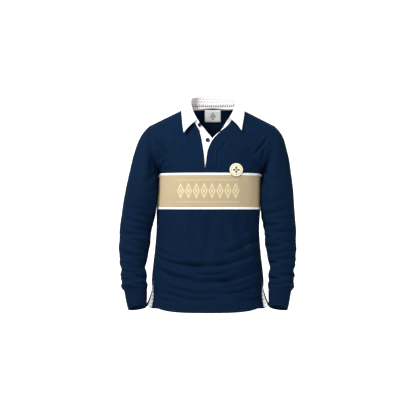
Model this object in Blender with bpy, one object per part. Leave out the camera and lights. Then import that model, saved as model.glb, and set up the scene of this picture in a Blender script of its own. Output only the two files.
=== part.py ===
"""A long-sleeved rugby jersey, filled out as if worn, with nobody in it.

Metres, +Z up, +X to the wearer's left, -Y to the front. The origin is the middle of the neck opening,
level with the two points where the shoulder seams meet the collar. Every cloth piece is a sheet worked
out from short tables of sizes and given its wall by a Solidify modifier.
"""

import math
from types import SimpleNamespace

import bpy
from mathutils import Vector
from mathutils.bvhtree import BVHTree

# Cloth and seams
CLOTH_WALL = 0.0018
TAPE_WALL = 0.0010
COLLAR_WALL = 0.0016
SEAM_GAP = 0.0004
SEAM_TURN = 0.13
LAY_GAP = 0.0005

# Shoulder line and armhole
NECK_HALF = 0.083
SHOULDER_RISE = 0.110
RIDGE_Y = 0.003
UNDERARM_Z = -0.230

# Chest hoop, measured down the front
STRIPE = 0.008
HOOP_TOP = -0.234
HOOP_BOTTOM = -0.358

# Side vents and hem
VENT_TOP = -0.605
HEM_FRONT = -0.710
HEM_FRONT_LIFT = 0.022
HEM_BACK = -0.716
HEM_BACK_LIFT = 0.023
VENT_FLAP = 0.024
VENT_TUCK = 0.005
BACK_HALF_ARC = 0.290

# Rows of the panels above the underarm, as shares of the way up to the shoulder seam, and the rows
# where the front slit and the two halves of the neckline begin
SLIT_ROW = 1
NECK_ROW = 7
BACK_NECK_ROW = 7
FRONT_RISES = (0, 0.10, 0.18, 0.26, 0.34, 0.42, 0.50, 0.56, 0.62, 0.70, 0.80, 0.92, 1.0)
BACK_RISES = (0, 0.11, 0.22, 0.34, 0.46, 0.58, 0.70, 0.81, 0.820, 0.845, 0.885, 0.935, 1.0)

# Grids
SIDE_COLUMNS = 12
SLEEVE_SIDES = 24
BACK_LOW_SHARES = (
    *(0, 0.027, 0.054, 0.081, 0.108, 0.135, 0.162, 0.19),
    *(0.26, 0.33, 0.40, 0.47, 0.54, 0.61, 0.68, 0.76, 0.84, 0.92),
)
VENT_ROWS = 8

# Collar
COLLAR_ROLL = 0.0026
LEAF_END = 0.91
LEAF_CLEARANCE = 0.0040
NECK_TAPE_HEIGHT = 0.018

# Label inside the back of the neck, and patch on the chest
LABEL_WIDTH = 0.057
LABEL_HEIGHT = 0.041
PATCH_RADIUS = 0.0245
PATCH_X = 0.080
PATCH_Z = -0.224

# Buttons
BUTTON_RADIUS = 0.0075
BUTTON_THICKNESS = 0.0028

NAVY = (0.012, 0.028, 0.075)
RIB = (0.008, 0.020, 0.055)
WHITE = (0.86, 0.86, 0.86)
TAN = (0.55, 0.43, 0.27)
CREAM = (0.80, 0.70, 0.45)


class Sizes:
    """Rows of named sizes along a key, the first column, read at any key on a smooth curve."""

    def __init__(self, names, *rows):
        self.names = names.split()
        self.rows = sorted(rows)
        self.keys = [row[0] for row in self.rows]

    def slope(self, row, column):
        before, after = max(row - 1, 0), min(row + 1, len(self.rows) - 1)
        rise = self.rows[after][column] - self.rows[before][column]
        return rise / (self.keys[after] - self.keys[before])

    def at(self, key):
        key = min(max(key, self.keys[0]), self.keys[-1])
        row = max(i for i in range(len(self.keys) - 1) if self.keys[i] <= key)
        step = self.keys[row + 1] - self.keys[row]
        u = (key - self.keys[row]) / step
        found = {}
        for column, name in enumerate(self.names):
            low, high = self.rows[row][column], self.rows[row + 1][column]
            ease = u * u * (3 - 2 * u)
            bend_low = u * (1 - u) ** 2 * step * self.slope(row, column)
            bend_high = u * u * (u - 1) * step * self.slope(row + 1, column)
            found[name] = low + (high - low) * ease + bend_low + bend_high
        return SimpleNamespace(**found)


# The body's level sections: half width, depth to the front and back, and where the side seam lies,
# as degrees round from the middle of the front.
BODY = Sizes(
    "z half_width front back seam_turn",
    (-0.720, 0.205, 0.116, 0.112, 68),
    (-0.692, 0.202, 0.115, 0.110, 68),
    (-0.668, 0.196, 0.113, 0.108, 68),
    (-0.636, 0.195, 0.111, 0.106, 68),
    (-0.605, 0.197, 0.109, 0.103, 68),
    (-0.556, 0.191, 0.106, 0.098, 74),
    (-0.486, 0.183, 0.103, 0.092, 84),
    (-0.430, 0.179, 0.104, 0.092, 90),
    (-0.357, 0.181, 0.110, 0.097, 90),
    (-0.290, 0.180, 0.114, 0.102, 90),
    (-0.230, 0.176, 0.113, 0.105, 90),
)

# How far the garment's middle lies to one side: it leans a little as it hangs.
LEAN = Sizes(
    "z middle", (-0.720, -0.016), (-0.430, -0.016), (-0.215, -0.007), (0.000, 0.001), (0.060, 0.003)
)

# How far the back's vent edge is turned out sideways, so that its inside faces the front.
FLARE = Sizes(
    "z turned",
    (-0.720, 1.00),
    (-0.693, 1.00),
    (-0.672, 0.80),
    (-0.650, 0.55),
    (-0.628, 0.28),
    (-0.604, 0.00),
    (-0.590, 0.00),
    (-0.230, 0.00),
)

# The sleeve's sections, from the armhole to the cuff's end: its outer and inner line seen from the
# front, the middle and half depth from front to back, and the tilt of a forearm held forward.
SLEEVE = Sizes(
    "station outer_x outer_z inner_x inner_z mid_y depth tilt bulge",
    (0, 0.219, -0.068, 0.177, -0.230, 0.000, 0.066, 0, 0.012),
    (1, 0.236, -0.084, 0.177, -0.239, -0.002, 0.066, 0, 0.012),
    (2, 0.251, -0.108, 0.176, -0.250, -0.006, 0.065, 0, 0.009),
    (3, 0.262, -0.140, 0.174, -0.264, -0.011, 0.064, 0, 0.004),
    (4, 0.271, -0.175, 0.173, -0.280, -0.016, 0.063, 0, 0.001),
    (5, 0.279, -0.215, 0.172, -0.298, -0.020, 0.062, 0, 0),
    (6, 0.287, -0.260, 0.173, -0.318, -0.022, 0.060, 0, 0),
    (7, 0.294, -0.305, 0.176, -0.340, -0.022, 0.059, 0, 0),
    (8, 0.299, -0.352, 0.181, -0.368, -0.020, 0.057, 0, 0),
    (9, 0.304, -0.398, 0.189, -0.402, -0.019, 0.055, 1, 0),
    (10, 0.308, -0.438, 0.195, -0.436, -0.020, 0.054, 3, 0),
    (11, 0.308, -0.472, 0.199, -0.468, -0.023, 0.052, 6, 0),
    (12, 0.308, -0.502, 0.203, -0.498, -0.028, 0.049, 9, 0),
    (13, 0.306, -0.528, 0.208, -0.526, -0.034, 0.046, 12, 0),
    (14, 0.303, -0.552, 0.213, -0.550, -0.040, 0.043, 14, 0),
    (15, 0.297, -0.570, 0.214, -0.568, -0.045, 0.041, 15, 0),
    (16, 0.302, -0.590, 0.209, -0.586, -0.049, 0.042, 16, 0),
    (17, 0.294, -0.608, 0.212, -0.603, -0.053, 0.040, 16, 0),
    (18, 0.299, -0.620, 0.207, -0.614, -0.056, 0.042, 16, 0),
    (19, 0.295, -0.631, 0.208, -0.625, -0.059, 0.040, 17, 0),
    (20, 0.287, -0.640, 0.209, -0.633, -0.062, 0.034, 17, 0),
    (21, 0.281, -0.672, 0.208, -0.663, -0.067, 0.033, 17, 0),
    (22, 0.2735, -0.702, 0.211, -0.692, -0.072, 0.031, 17, 0),
)
CUFF_START = 20
CUFF_END = 22
SLEEVE_RING_STATIONS = (
    [k for k in range(0, 9)]
    + [8 + 0.5 * k for k in range(1, 24)]
    + [19.965]
)

# The largest folds of the front and back, as soft troughs: both ends, how far the middle hangs below
# the straight line between them, half width and depth. A negative depth is a ridge.
FRONT_FOLDS = (
    dict(start=(-0.172, -0.532), end=(0.178, -0.486), sag=0.040, half_width=0.013, depth=0.0040),
    dict(start=(-0.165, -0.572), end=(0.180, -0.545), sag=0.045, half_width=0.014, depth=0.0045),
    dict(start=(-0.178, -0.498), end=(-0.020, -0.552), sag=0.004, half_width=0.012, depth=0.0025),
    dict(start=(0.060, -0.512), end=(0.176, -0.440), sag=0.006, half_width=0.014, depth=0.0035),
    dict(start=(-0.155, -0.640), end=(0.020, -0.668), sag=0.010, half_width=0.014, depth=0.0020),
    dict(start=(-0.170, -0.120), end=(-0.110, -0.215), sag=0.000, half_width=0.012, depth=0.0030),
    dict(start=(0.185, -0.120), end=(0.105, -0.200), sag=0.000, half_width=0.012, depth=0.0030),
    dict(start=(-0.045, -0.560), end=(-0.020, -0.385), sag=0.000, half_width=0.016, depth=0.0020),
    dict(start=(0.060, -0.540), end=(0.045, -0.385), sag=0.000, half_width=0.016, depth=0.0020),
)
BACK_FOLDS = (
    dict(start=(-0.150, -0.480), end=(0.145, -0.460), sag=0.030, half_width=0.018, depth=0.0040),
    dict(start=(-0.125, -0.545), end=(0.135, -0.560), sag=0.032, half_width=0.018, depth=0.0045),
    dict(start=(-0.160, -0.130), end=(-0.075, -0.235), sag=0.000, half_width=0.013, depth=0.0030),
    dict(start=(0.165, -0.130), end=(0.080, -0.225), sag=0.000, half_width=0.013, depth=0.0030),
    dict(start=(-0.060, -0.470), end=(-0.045, -0.250), sag=0.000, half_width=0.018, depth=0.0025),
    dict(start=(0.070, -0.490), end=(0.048, -0.270), sag=0.000, half_width=0.018, depth=0.0025),
)

# The largest folds of a sleeve: the station and turn of the middle, in degrees round from the outer
# line by way of the front, half the turn that it spans, stations that it climbs over that, half width
# in stations, and depth.
SLEEVE_FOLDS = (
    dict(station=2.6, turn=70, span=40, climb=1.8, half_width=0.55, depth=0.0030),
    dict(station=4.6, turn=95, span=45, climb=2.0, half_width=0.60, depth=0.0030),
    dict(station=8.6, turn=120, span=70, climb=1.0, half_width=0.50, depth=0.0050),
    dict(station=10.2, turn=70, span=70, climb=-0.6, half_width=0.50, depth=0.0045),
    dict(station=11.6, turn=125, span=65, climb=0.8, half_width=0.45, depth=0.0050),
    dict(station=12.9, turn=60, span=60, climb=0.5, half_width=0.45, depth=0.0040),
    dict(station=14.2, turn=130, span=60, climb=-0.6, half_width=0.50, depth=0.0045),
    dict(station=16.4, turn=85, span=60, climb=0.8, half_width=0.55, depth=0.0035),
    dict(station=10.8, turn=230, span=60, climb=0.6, half_width=0.50, depth=0.0045),
    dict(station=12.7, turn=260, span=65, climb=-0.5, half_width=0.45, depth=0.0040),
    dict(station=14.9, turn=230, span=60, climb=0.5, half_width=0.50, depth=0.0040),
)

# The front opening's two edges, across the chest, row by row.
OPENING = Sizes(
    "rise right_edge left_edge",
    (0.00, -0.0190, -0.0190),
    (0.16, -0.0195, -0.0175),
    (0.25, -0.0212, -0.0155),
    (0.35, -0.0250, -0.0138),
    (0.45, -0.0317, -0.0035),
    (0.50, -0.0355, 0.0080),
    (0.56, -0.0410, 0.0310),
    (0.60, -0.0480, 0.0480),
    (0.65, -0.0590, 0.0610),
    (0.75, -0.0735, 0.0740),
    (0.85, -0.0800, 0.0800),
    (0.93, -0.0825, 0.0825),
    (1.00, -0.0830, 0.0830),
)

# The facing behind the opening's edge on the wearer's left: that edge and the facing's own inner
# edge, up the opening.
FACING = Sizes(
    "share free_rise free_x sewn_rise sewn_x",
    (0.00, 0.09, -0.0168, 0.09, 0.0205),
    (0.20, 0.22, -0.0162, 0.22, 0.0208),
    (0.45, 0.36, -0.0135, 0.36, 0.0225),
    (0.65, 0.45, -0.0035, 0.43, 0.0310),
    (0.78, 0.50, 0.0080, 0.475, 0.0430),
    (1.00, 0.557, 0.0290, 0.560, 0.0620),
)
# The white placket under it: where its sewn edge and its free edge lie.
UNDER_PLACKET = Sizes(
    "rise sewn_x free_x",
    (0.06, -0.0235, 0.0185),
    (0.16, -0.0240, 0.0185),
    (0.25, -0.0257, 0.0175),
    (0.35, -0.0295, 0.0150),
    (0.45, -0.0362, 0.0085),
    (0.49, -0.0395, 0.0025),
    (0.56, -0.0450, -0.0195),
)

# The collar round half the neck, from the middle of the back to the front end: its fold line and the
# leaf's edge. The seam at its foot follows the neckline.
COLLAR = Sizes(
    "round fold_x fold_y fold_z edge_x edge_y edge_z",
    (0.00, 0.0000, 0.063, 0.044, 0.000, 0.090, -0.012),
    (0.20, 0.0420, 0.056, 0.042, 0.052, 0.079, -0.014),
    (0.38, 0.0700, 0.036, 0.035, 0.088, 0.050, -0.014),
    (0.52, 0.0790, 0.008, 0.024, 0.103, 0.014, -0.014),
    (0.66, 0.0760, -0.022, 0.000, 0.104, -0.028, -0.032),
    (0.80, 0.0660, -0.046, -0.027, 0.102, -0.062, -0.062),
    (0.92, 0.0520, -0.061, -0.050, 0.096, -0.084, -0.095),
    (1.00, 0.0460, -0.067, -0.059, 0.096, -0.084, -0.095),
)
LEFT_FOLD_SHIFT = 0.004


def smooth(value):
    value = min(max(value, 0.0), 1.0)
    return value * value * (3 - 2 * value)


def leaned(x, y, z):
    return Vector((x + LEAN.at(z).middle, y, z))


def power(value, exponent):
    return math.copysign(abs(value) ** exponent, value)


ROUNDNESS = 0.84


def body_point(turn, z):
    """A point of the body below the underarm, turn degrees round from the middle of the front."""
    size = BODY.at(z)
    angle = math.radians(turn)
    across, ahead = math.sin(angle), math.cos(angle)
    depth = size.front if ahead > 0 else size.back
    return Vector((size.half_width * power(across, ROUNDNESS), -depth * power(ahead, ROUNDNESS), z))


def sleeve_point(station, turn):
    """A point of the wearer's left sleeve, turn degrees round from its outer line by the front."""
    size = SLEEVE.at(station)
    outer = Vector((size.outer_x, size.mid_y, size.outer_z))
    inner = Vector((size.inner_x, size.mid_y, size.inner_z))
    tilt = math.radians(size.tilt)
    to_front = Vector((0, -math.cos(tilt), math.sin(tilt))) * size.depth
    angle = math.radians(turn)
    centre = (outer + inner) / 2 + Vector((size.bulge * math.sin(angle) ** 2, 0, 0))
    return centre + (outer - inner) / 2 * math.cos(angle) + to_front * math.sin(angle)


CHEST_FRONT = BODY.at(UNDERARM_Z).front
CHEST_BACK = BODY.at(UNDERARM_Z).back
CHEST_HALF = BODY.at(UNDERARM_Z).half_width
FRONT_ARCH = 0.90
BACK_ARCH = 0.58
FREE_TURN = 48


def shoulder_point(across, rise, facing):
    """A point above the underarm. across runs from -1 to 1 between the armholes, rise from 0 at the
    underarm to 1 at the shoulder seam, and facing is -1 on the front and 1 on the back."""
    side = sleeve_point(0, 180 * (1 - rise) if facing < 0 else 180 * (1 + rise))
    side.x = CHEST_HALF + (side.x - sleeve_point(0, 180).x) if rise < 1 else side.x
    half = side.x + (sleeve_point(0, 180).x - CHEST_HALF) * rise
    depth, arch = (CHEST_FRONT, FRONT_ARCH) if facing < 0 else (CHEST_BACK, BACK_ARCH)
    middle_y = RIDGE_Y + (facing * depth - RIDGE_Y) * math.cos(math.radians(90 * rise)) ** arch
    widest = math.radians(90 - (90 - FREE_TURN) * smooth(rise / 0.45))
    angle = abs(across) * widest
    round_x = math.sin(angle) ** ROUNDNESS / math.sin(widest) ** ROUNDNESS
    low = max(math.cos(widest), 0) ** ROUNDNESS
    round_y = (max(math.cos(angle), 0) ** ROUNDNESS - low) / (1 - low)
    x = math.copysign(half * round_x, across)
    climb = SHOULDER_RISE * rise**1.5
    z = side.z + climb * (1 - round_x ** (2 - rise))
    return Vector((x, side.y + (middle_y - side.y) * round_y, z))


def trough(x, z, fold):
    """How deep a fold is at one place on the front or back."""
    start, end = Vector(fold["start"]), Vector(fold["end"])
    along = end - start
    share = (Vector((x, z)) - start).dot(along) / along.length_squared
    ends = smooth((share + 0.12) / 0.3) * smooth((1.12 - share) / 0.3)
    middle = start + along * share
    middle.y -= fold["sag"] * 4 * max(share * (1 - share), 0)
    off = (Vector((x, z)) - middle).length / fold["half_width"]
    lip = 0.35 * math.exp(-((off - 2.0) ** 2))
    return fold["depth"] * ends * (math.exp(-off * off) - lip)


def material(name, colour, roughness):
    made = bpy.data.materials.new(name)
    made.use_nodes = True
    shader = made.node_tree.nodes["Principled BSDF"]
    shader.inputs["Base Color"].default_value = (*colour, 1)
    shader.inputs["Roughness"].default_value = roughness
    shader.inputs["Metallic"].default_value = 0.0
    return made


def sheet(name, points, faces, look, wall=CLOTH_WALL):
    """A piece of cloth: its middle surface as a mesh, and its wall as a Solidify modifier."""
    mesh = bpy.data.meshes.new(name)
    mesh.from_pydata(points, [], faces)
    mesh.materials.append(look)
    mesh.shade_smooth()
    made = bpy.data.objects.new(name, mesh)
    bpy.context.collection.objects.link(made)
    thicken = made.modifiers.new("wall", "SOLIDIFY")
    thicken.thickness = wall
    thicken.offset = 0
    return made


def grid_faces(rows, columns, closed=False, flip=False):
    """The faces of a grid of points kept row after row. A closed grid joins its last column to its first."""
    faces = []
    for row in range(rows - 1):
        for column in range(columns if closed else columns - 1):
            after = (column + 1) % columns
            face = (
                row * columns + column,
                row * columns + after,
                (row + 1) * columns + after,
                (row + 1) * columns + column,
            )
            faces.append(face[::-1] if flip else face)
    return faces


def creased(points, faces, depth_at):
    """The points moved in along their normals by the depth of the folds there."""
    mesh = bpy.data.meshes.new("creasing")
    mesh.from_pydata(points, [], faces)
    moved = [v.co - v.normal * depth_at(v.co) for v in mesh.vertices]
    bpy.data.meshes.remove(mesh)
    return moved


def folds_of(folds):
    return lambda point: sum(trough(point.x - LEAN.at(point.z).middle, point.z, fold) for fold in folds)


front_depth, back_depth = folds_of(FRONT_FOLDS), folds_of(BACK_FOLDS)


def hem_z(share, across, facing):
    """The height of a point of the lowest panel, share 0 at the hem and 1 at the hoop's lower edge."""
    low, lift = (HEM_FRONT, HEM_FRONT_LIFT) if facing < 0 else (HEM_BACK, HEM_BACK_LIFT)
    hem = low + lift * abs(across) ** 3
    top = HOOP_BOTTOM if facing < 0 else UNDERARM_Z
    return hem + (top - hem) * share


def front_low_point(across, z):
    """A point of the front below the underarm, between the side seams."""
    return leaned(*body_point(across * (BODY.at(z).seam_turn - SEAM_TURN), z))


def back_low_point(across, z):
    """A point of the back below the underarm. Down the vents its last strip turns out sideways."""
    side = math.copysign(1, across)
    strip = 1 - VENT_FLAP / BACK_HALF_ARC
    turned = max(FLARE.at(z).turned, 0)

    def plain(share):
        point = body_point(180 - side * share * (180 - SEAM_TURN - BODY.at(z).seam_turn), z)
        point.x -= side * VENT_TUCK * turned * smooth((share - 0.72) / (strip - 0.72))
        return point

    point = plain(abs(across))
    if abs(across) > strip:
        reach = (abs(across) - strip) * BACK_HALF_ARC
        point = point.lerp(plain(strip) + Vector((side * 0.93, -0.37, 0)) * reach, turned)
    return leaned(*point)


def across_columns(count=2 * SIDE_COLUMNS + 1):
    return [-1 + 2 * column / (count - 1) for column in range(count)]


def back_shares():
    """How far out the back's columns lie. The last two are close together, for the vent edges."""
    strip = 1 - VENT_FLAP / BACK_HALF_ARC
    return [strip * k / (SIDE_COLUMNS - 2) for k in range(SIDE_COLUMNS - 1)] + [(1 + strip) / 2, 1.0]


def front_strip(name, top, bottom, rows, look):
    """A level strip of the front, such as the hoop, cut off just short of its neighbours."""
    points = []
    for row in range(rows):
        z = bottom + SEAM_GAP / 2 + (top - bottom - SEAM_GAP) * row / (rows - 1)
        points += [front_low_point(across, z) for across in across_columns()]
    faces = grid_faces(rows, 2 * SIDE_COLUMNS + 1)
    return sheet(name, creased(points, faces, front_depth), faces, look)


def front_lower(look):
    """The front below the hoop. Its rows meet the back's at the side seams."""
    low, high = HEM_FRONT + HEM_FRONT_LIFT, HOOP_BOTTOM - SEAM_GAP / 2
    levels = [low] + [hem_z(share, 1, 1) for share in BACK_LOW_SHARES[1:]]
    levels = [z for z in levels if z < high - 0.008] + [high]
    points = []
    for z in levels:
        for across in across_columns():
            points.append(front_low_point(across, hem_z((z - low) / (HOOP_BOTTOM - low), across, -1)))
    faces = grid_faces(len(levels), 2 * SIDE_COLUMNS + 1)
    return sheet("front_lower", creased(points, faces, front_depth), faces, look)


def chest_across(x, rise):
    """Where x lies across the chest, from -1 to 1 between the armholes, at one rise."""
    low, high = -1.0, 1.0
    for _ in range(24):
        middle = (low + high) / 2
        if shoulder_point(middle, rise, -1).x < x:
            low = middle
        else:
            high = middle
    return (low + high) / 2


def chest_point(x, rise, out):
    """A point of the chest at x and rise, moved out from the middle of its cloth, folds included."""
    here = shoulder_point(chest_across(x, rise), rise, -1)
    beside = shoulder_point(chest_across(x + 0.003, rise), rise, -1)
    above = shoulder_point(chest_across(x, rise + 0.01), rise + 0.01, -1)
    normal = (beside - here).cross(above - here).normalized()
    point = leaned(*here)
    return point + normal * (out - front_depth(point))


def front_upper_point(side, out, rise):
    """A point of the chest on one side, out 0 at the opening or neckline and 1 at the armhole."""
    edges = OPENING.at(rise)
    start = chest_across(edges.left_edge if side > 0 else edges.right_edge, rise)
    return shoulder_point(start + (side - start) * out, rise, -1)


def row_rise(rises, row, out):
    """The rise of a row, which meets the armhole at the same place as a line of the sleeve."""
    return rises[row] + (row / (len(rises) - 1) - rises[row]) * out**2


def front_upper(look):
    """The chest above the hoop, one piece with a slit down its middle and the front of the neckline."""
    points, index, faces = [], {}, []
    for row in range(len(FRONT_RISES)):
        for side in (-1, 1):
            for column in range(SIDE_COLUMNS + 1):
                if column == 0 and row <= SLIT_ROW and side > 0:
                    index[row, side, 0] = index[row, -1, 0]
                    continue
                out = column / SIDE_COLUMNS
                point = front_upper_point(side, out, row_rise(FRONT_RISES, row, out))
                if row == 0:
                    point.z = HOOP_TOP + SEAM_GAP / 2 + 0.0008 * out**2
                    point.y -= SEAM_GAP * out**8
                if row == len(FRONT_RISES) - 1:
                    point.y -= SEAM_GAP
                index[row, side, column] = len(points)
                points.append(leaned(*point))
    for row in range(len(FRONT_RISES) - 1):
        for side in (-1, 1):
            for column in range(SIDE_COLUMNS):
                corners = ((row, column), (row, column + 1), (row + 1, column + 1), (row + 1, column))
                face = tuple(index[r, side, c] for r, c in corners)
                faces.append(face if side > 0 else face[::-1])
    return sheet("front_upper", creased(points, faces, front_depth), faces, look)


def back_neck_half(rise):
    start = BACK_RISES[BACK_NECK_ROW]
    share = min(max((rise - start) / (1 - start), 0.0), 1.0)
    return NECK_HALF * math.sqrt(1 - (1 - share) ** 2)


def back_high_point(side, out, row):
    """A point of the back above the underarm, out 0 at its middle or the neckline and 1 at the armhole."""
    half = shoulder_point(1, BACK_RISES[row], 1).x
    start = (back_neck_half(BACK_RISES[row]) / half) ** (1 / ROUNDNESS)
    rise = row_rise(BACK_RISES, row, out)
    point = shoulder_point(side * (start + (1 - start) * out), rise, 1)
    if row == 0:
        point.y += SEAM_GAP * out**8
    if row == len(BACK_RISES) - 1:
        point.y += SEAM_GAP
    return point


def back_panel(look):
    """The back in one piece, hem to shoulder seams, with the shallow back of the neckline."""
    points, index, faces = [], {}, []
    shares = back_shares()
    low = len(BACK_LOW_SHARES)
    for row in range(low + len(BACK_RISES)):
        for side in (-1, 1):
            for column in range(SIDE_COLUMNS + 1):
                if column == 0 and side > 0 and row <= low + BACK_NECK_ROW:
                    index[row, side, 0] = index[row, -1, 0]
                    continue
                if row < low:
                    across = side * shares[column]
                    point = back_low_point(across, hem_z(BACK_LOW_SHARES[row], across, 1))
                else:
                    point = leaned(*back_high_point(side, shares[column], row - low))
                index[row, side, column] = len(points)
                points.append(point)
    for row in range(low + len(BACK_RISES) - 1):
        for side in (-1, 1):
            for column in range(SIDE_COLUMNS):
                corners = ((row, column), (row + 1, column), (row + 1, column + 1), (row, column + 1))
                face = tuple(index[r, side, c] for r, c in corners)
                faces.append(face if side > 0 else face[::-1])
    return sheet("back", creased(points, faces, back_depth), faces, look)


def sleeve_fold_depth(station, turn):
    total = 0.0
    for fold in SLEEVE_FOLDS:
        around = (turn - fold["turn"] + 180) % 360 - 180
        share = around / fold["span"]
        off = (station - fold["station"] - fold["climb"] * share) / fold["half_width"]
        lip = 0.35 * math.exp(-((abs(off) - 2.0) ** 2))
        total += fold["depth"] * smooth((1.15 - abs(share)) / 0.5) * (math.exp(-off * off) - lip)
    return total


BODY_CLEARANCE = 0.0035
ARMHOLE_GAP = 0.0013
UNDERARM_GAP = 0.0026


def sleeve_start(turn):
    """A point of the sleeve's first ring, just clear of the armhole's edge."""
    under = smooth((100 - abs(turn - 180)) / 100)
    point = sleeve_point(0, turn)
    point.x += ARMHOLE_GAP * (1 - under) + UNDERARM_GAP * under
    point.z -= 0.0004 * (1 - under)
    return point


def clear_of_body(point):
    """A point of the wearer's left sleeve, moved out where it would be inside the body's side."""
    size = BODY.at(min(point.z, UNDERARM_Z))
    depth = size.front if point.y < 0 else size.back
    power_of = 2 / ROUNDNESS
    reach_x = point.x / (size.half_width + BODY_CLEARANCE)
    reach_y = abs(point.y) / (depth + BODY_CLEARANCE)
    reach = (abs(reach_x) ** power_of + reach_y**power_of) ** (1 / power_of)
    if reach < 1 and point.z < UNDERARM_Z + 0.02:
        point = Vector((point.x / reach, point.y / reach, point.z))
    return point


def tube(name, side, stations, look, fold=True, sides=SLEEVE_SIDES):
    """A sleeve or cuff through rings at these stations, on the wearer's left for side 1."""
    points = []
    for station in stations:
        for k in range(sides):
            turn = 360 * k / sides
            point = clear_of_body(sleeve_point(station, turn)) if station else sleeve_start(turn)
            middle = (sleeve_point(station, 0) + sleeve_point(station, 180)) / 2
            if fold and station:
                point -= (point - middle).normalized() * sleeve_fold_depth(station, turn)
            points.append(leaned(side * point.x, point.y, point.z))
    faces = grid_faces(len(stations), sides, closed=True, flip=side > 0)
    return sheet(name, points, faces, look)


def bvh_of(*objects):
    """The middle surfaces of these sheets, for finding the nearest place on them."""
    points, faces = [], []
    for made in objects:
        start = len(points)
        points += [v.co.copy() for v in made.data.vertices]
        faces += [tuple(start + i for i in p.vertices) for p in made.data.polygons]
    return BVHTree.FromPolygons(points, faces)


def neckline(side):
    """The neck seam on one side, from the middle of the back to the front opening."""
    line = [leaned(*back_high_point(side, 0, row)) for row in range(BACK_NECK_ROW, len(BACK_RISES))]
    line += [leaned(*front_upper_point(side, 0, rise)) for rise in FRONT_RISES[:NECK_ROW:-1]]
    end = FRONT_RISES[NECK_ROW]
    line.append(leaned(*front_upper_point(side, 0, end)))
    if side < 0:
        line += [chest_point(x, end, -0.0030) for x in (-0.034, -0.027, UNDER_PLACKET.at(end).free_x)]
    return line


def seam_shares(line):
    """How far along a seam each of its points lies, as a share of its length."""
    total, shares = 0.0, [0.0]
    for a, b in zip(line, line[1:]):
        total += (b - a).length
        shares.append(total)
    return [share / total for share in shares]


def collar_columns(lines, body):
    """Down each column of the collar, from the wearer's right end to the left: how far round it lies,
    its foot, fold and leaf edge, and the level direction away from the neck."""
    columns = []
    for side in (-1, 1):
        line = lines[side]
        shares = seam_shares(line)
        found = []
        for k, (u, seam) in enumerate(zip(shares, line)):
            if k == 0 and side > 0:
                continue
            size = COLLAR.at(u)
            shift = LEFT_FOLD_SHIFT * smooth(u / 0.5) if side > 0 else 0.0
            fold = leaned(side * size.fold_x + shift, size.fold_y, size.fold_z)
            edge = leaned(side * size.edge_x + shift, size.edge_y, size.edge_z)
            direction = line[min(k + 1, len(line) - 1)] - line[max(k - 1, 0)]
            _, normal, _, _ = body.find_nearest(seam)
            beyond = direction.cross(normal).normalized()
            if beyond.dot(fold - seam) < 0:
                beyond = -beyond
            base = seam + beyond * (COLLAR_WALL / 2 + 2 * SEAM_GAP)
            away = Vector((fold.x - LEAN.at(fold.z).middle, fold.y, 0)).normalized()
            found.append((side * u, base, fold, edge, away))
        columns = found[::-1] if side < 0 else columns + found
    return columns


def stand_point(base, fold, away, share):
    """A point up the collar's stand, share 0 at its foot and 1 at its fold."""
    return base.lerp(fold - away * COLLAR_ROLL, share)


def leaf_end(columns, side):
    """Which column ends the leaf on one side."""
    return min(range(len(columns)), key=lambda k: abs(columns[k][0] - side * LEAF_END))


def collar(look, columns, body):
    """The folded collar: a stand from the neck seam to the fold, and a leaf that falls outside it.
    The stand runs on past the leaf to the front opening."""
    points, index = [], {}
    first, last = leaf_end(columns, -1), leaf_end(columns, 1)
    leaf_rows = 4
    for column, (u, base, fold, edge, away) in enumerate(columns):
        path = [stand_point(base, fold, away, k / 2) for k in range(3)]
        path.append(fold + Vector((0, 0, COLLAR_ROLL)))
        if first <= column <= last:
            out = fold + away * COLLAR_ROLL
            path.append(out)
            for k in range(1, leaf_rows + 1):
                share = k / leaf_rows
                path.append(out.lerp(edge, share) + away * 0.006 * math.sin(math.pi * share))
        for row, point in enumerate(path):
            near, normal, _, _ = body.find_nearest(point)
            room = LEAF_CLEARANCE + 0.006 * smooth(1 - abs(abs(u) - 0.54) / 0.26)
            if row > 4 and (point - near).dot(normal) < room:
                point = near + normal * room
            index[row, column] = len(points)
            points.append(point)
    faces = []
    for column in range(len(columns) - 1):
        for row in range(4 + leaf_rows):
            corners = [(row, column), (row + 1, column), (row + 1, column + 1), (row, column + 1)]
            if all(corner in index for corner in corners):
                faces.append(tuple(index[corner] for corner in corners))
    return sheet("collar", points, faces, look, COLLAR_WALL)


def stand_out(columns, k):
    """The direction straight out of the stand at one column."""
    before, after = columns[max(k - 1, 0)], columns[min(k + 1, len(columns) - 1)]
    normal = (after[1] - before[1]).cross(columns[k][2] - columns[k][1]).normalized()
    return normal if normal.dot(columns[k][4]) > 0 else -normal


def neck_tape(look, columns, reach=0.62):
    """The tape inside the collar's foot, over the neck seam."""
    inward = COLLAR_WALL / 2 + LAY_GAP + TAPE_WALL
    inside = [k for k, column in enumerate(columns) if abs(column[0]) < reach]
    points = []
    for row in range(2):
        for k in inside:
            _, base, fold, _, away = columns[k]
            share = (0.0015 + (NECK_TAPE_HEIGHT - 0.0015) * row) / (fold - base).length
            points.append(stand_point(base, fold, away, share) - stand_out(columns, k) * inward)
    return sheet("neck_tape", points, grid_faces(2, len(inside)), look, TAPE_WALL)


def on_skin(skin, start, direction, out):
    """The place where a line from start meets a sheet, moved back towards start's side."""
    for step in (0.0, 0.0008, -0.0008):
        place, normal, _, _ = skin.ray_cast(start + Vector((0, 0, step)), direction)
        if place is not None:
            if normal.dot(direction) > 0:
                normal = -normal
            place.z -= step
            return place + normal * out
    raise ValueError("no cloth there")


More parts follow.
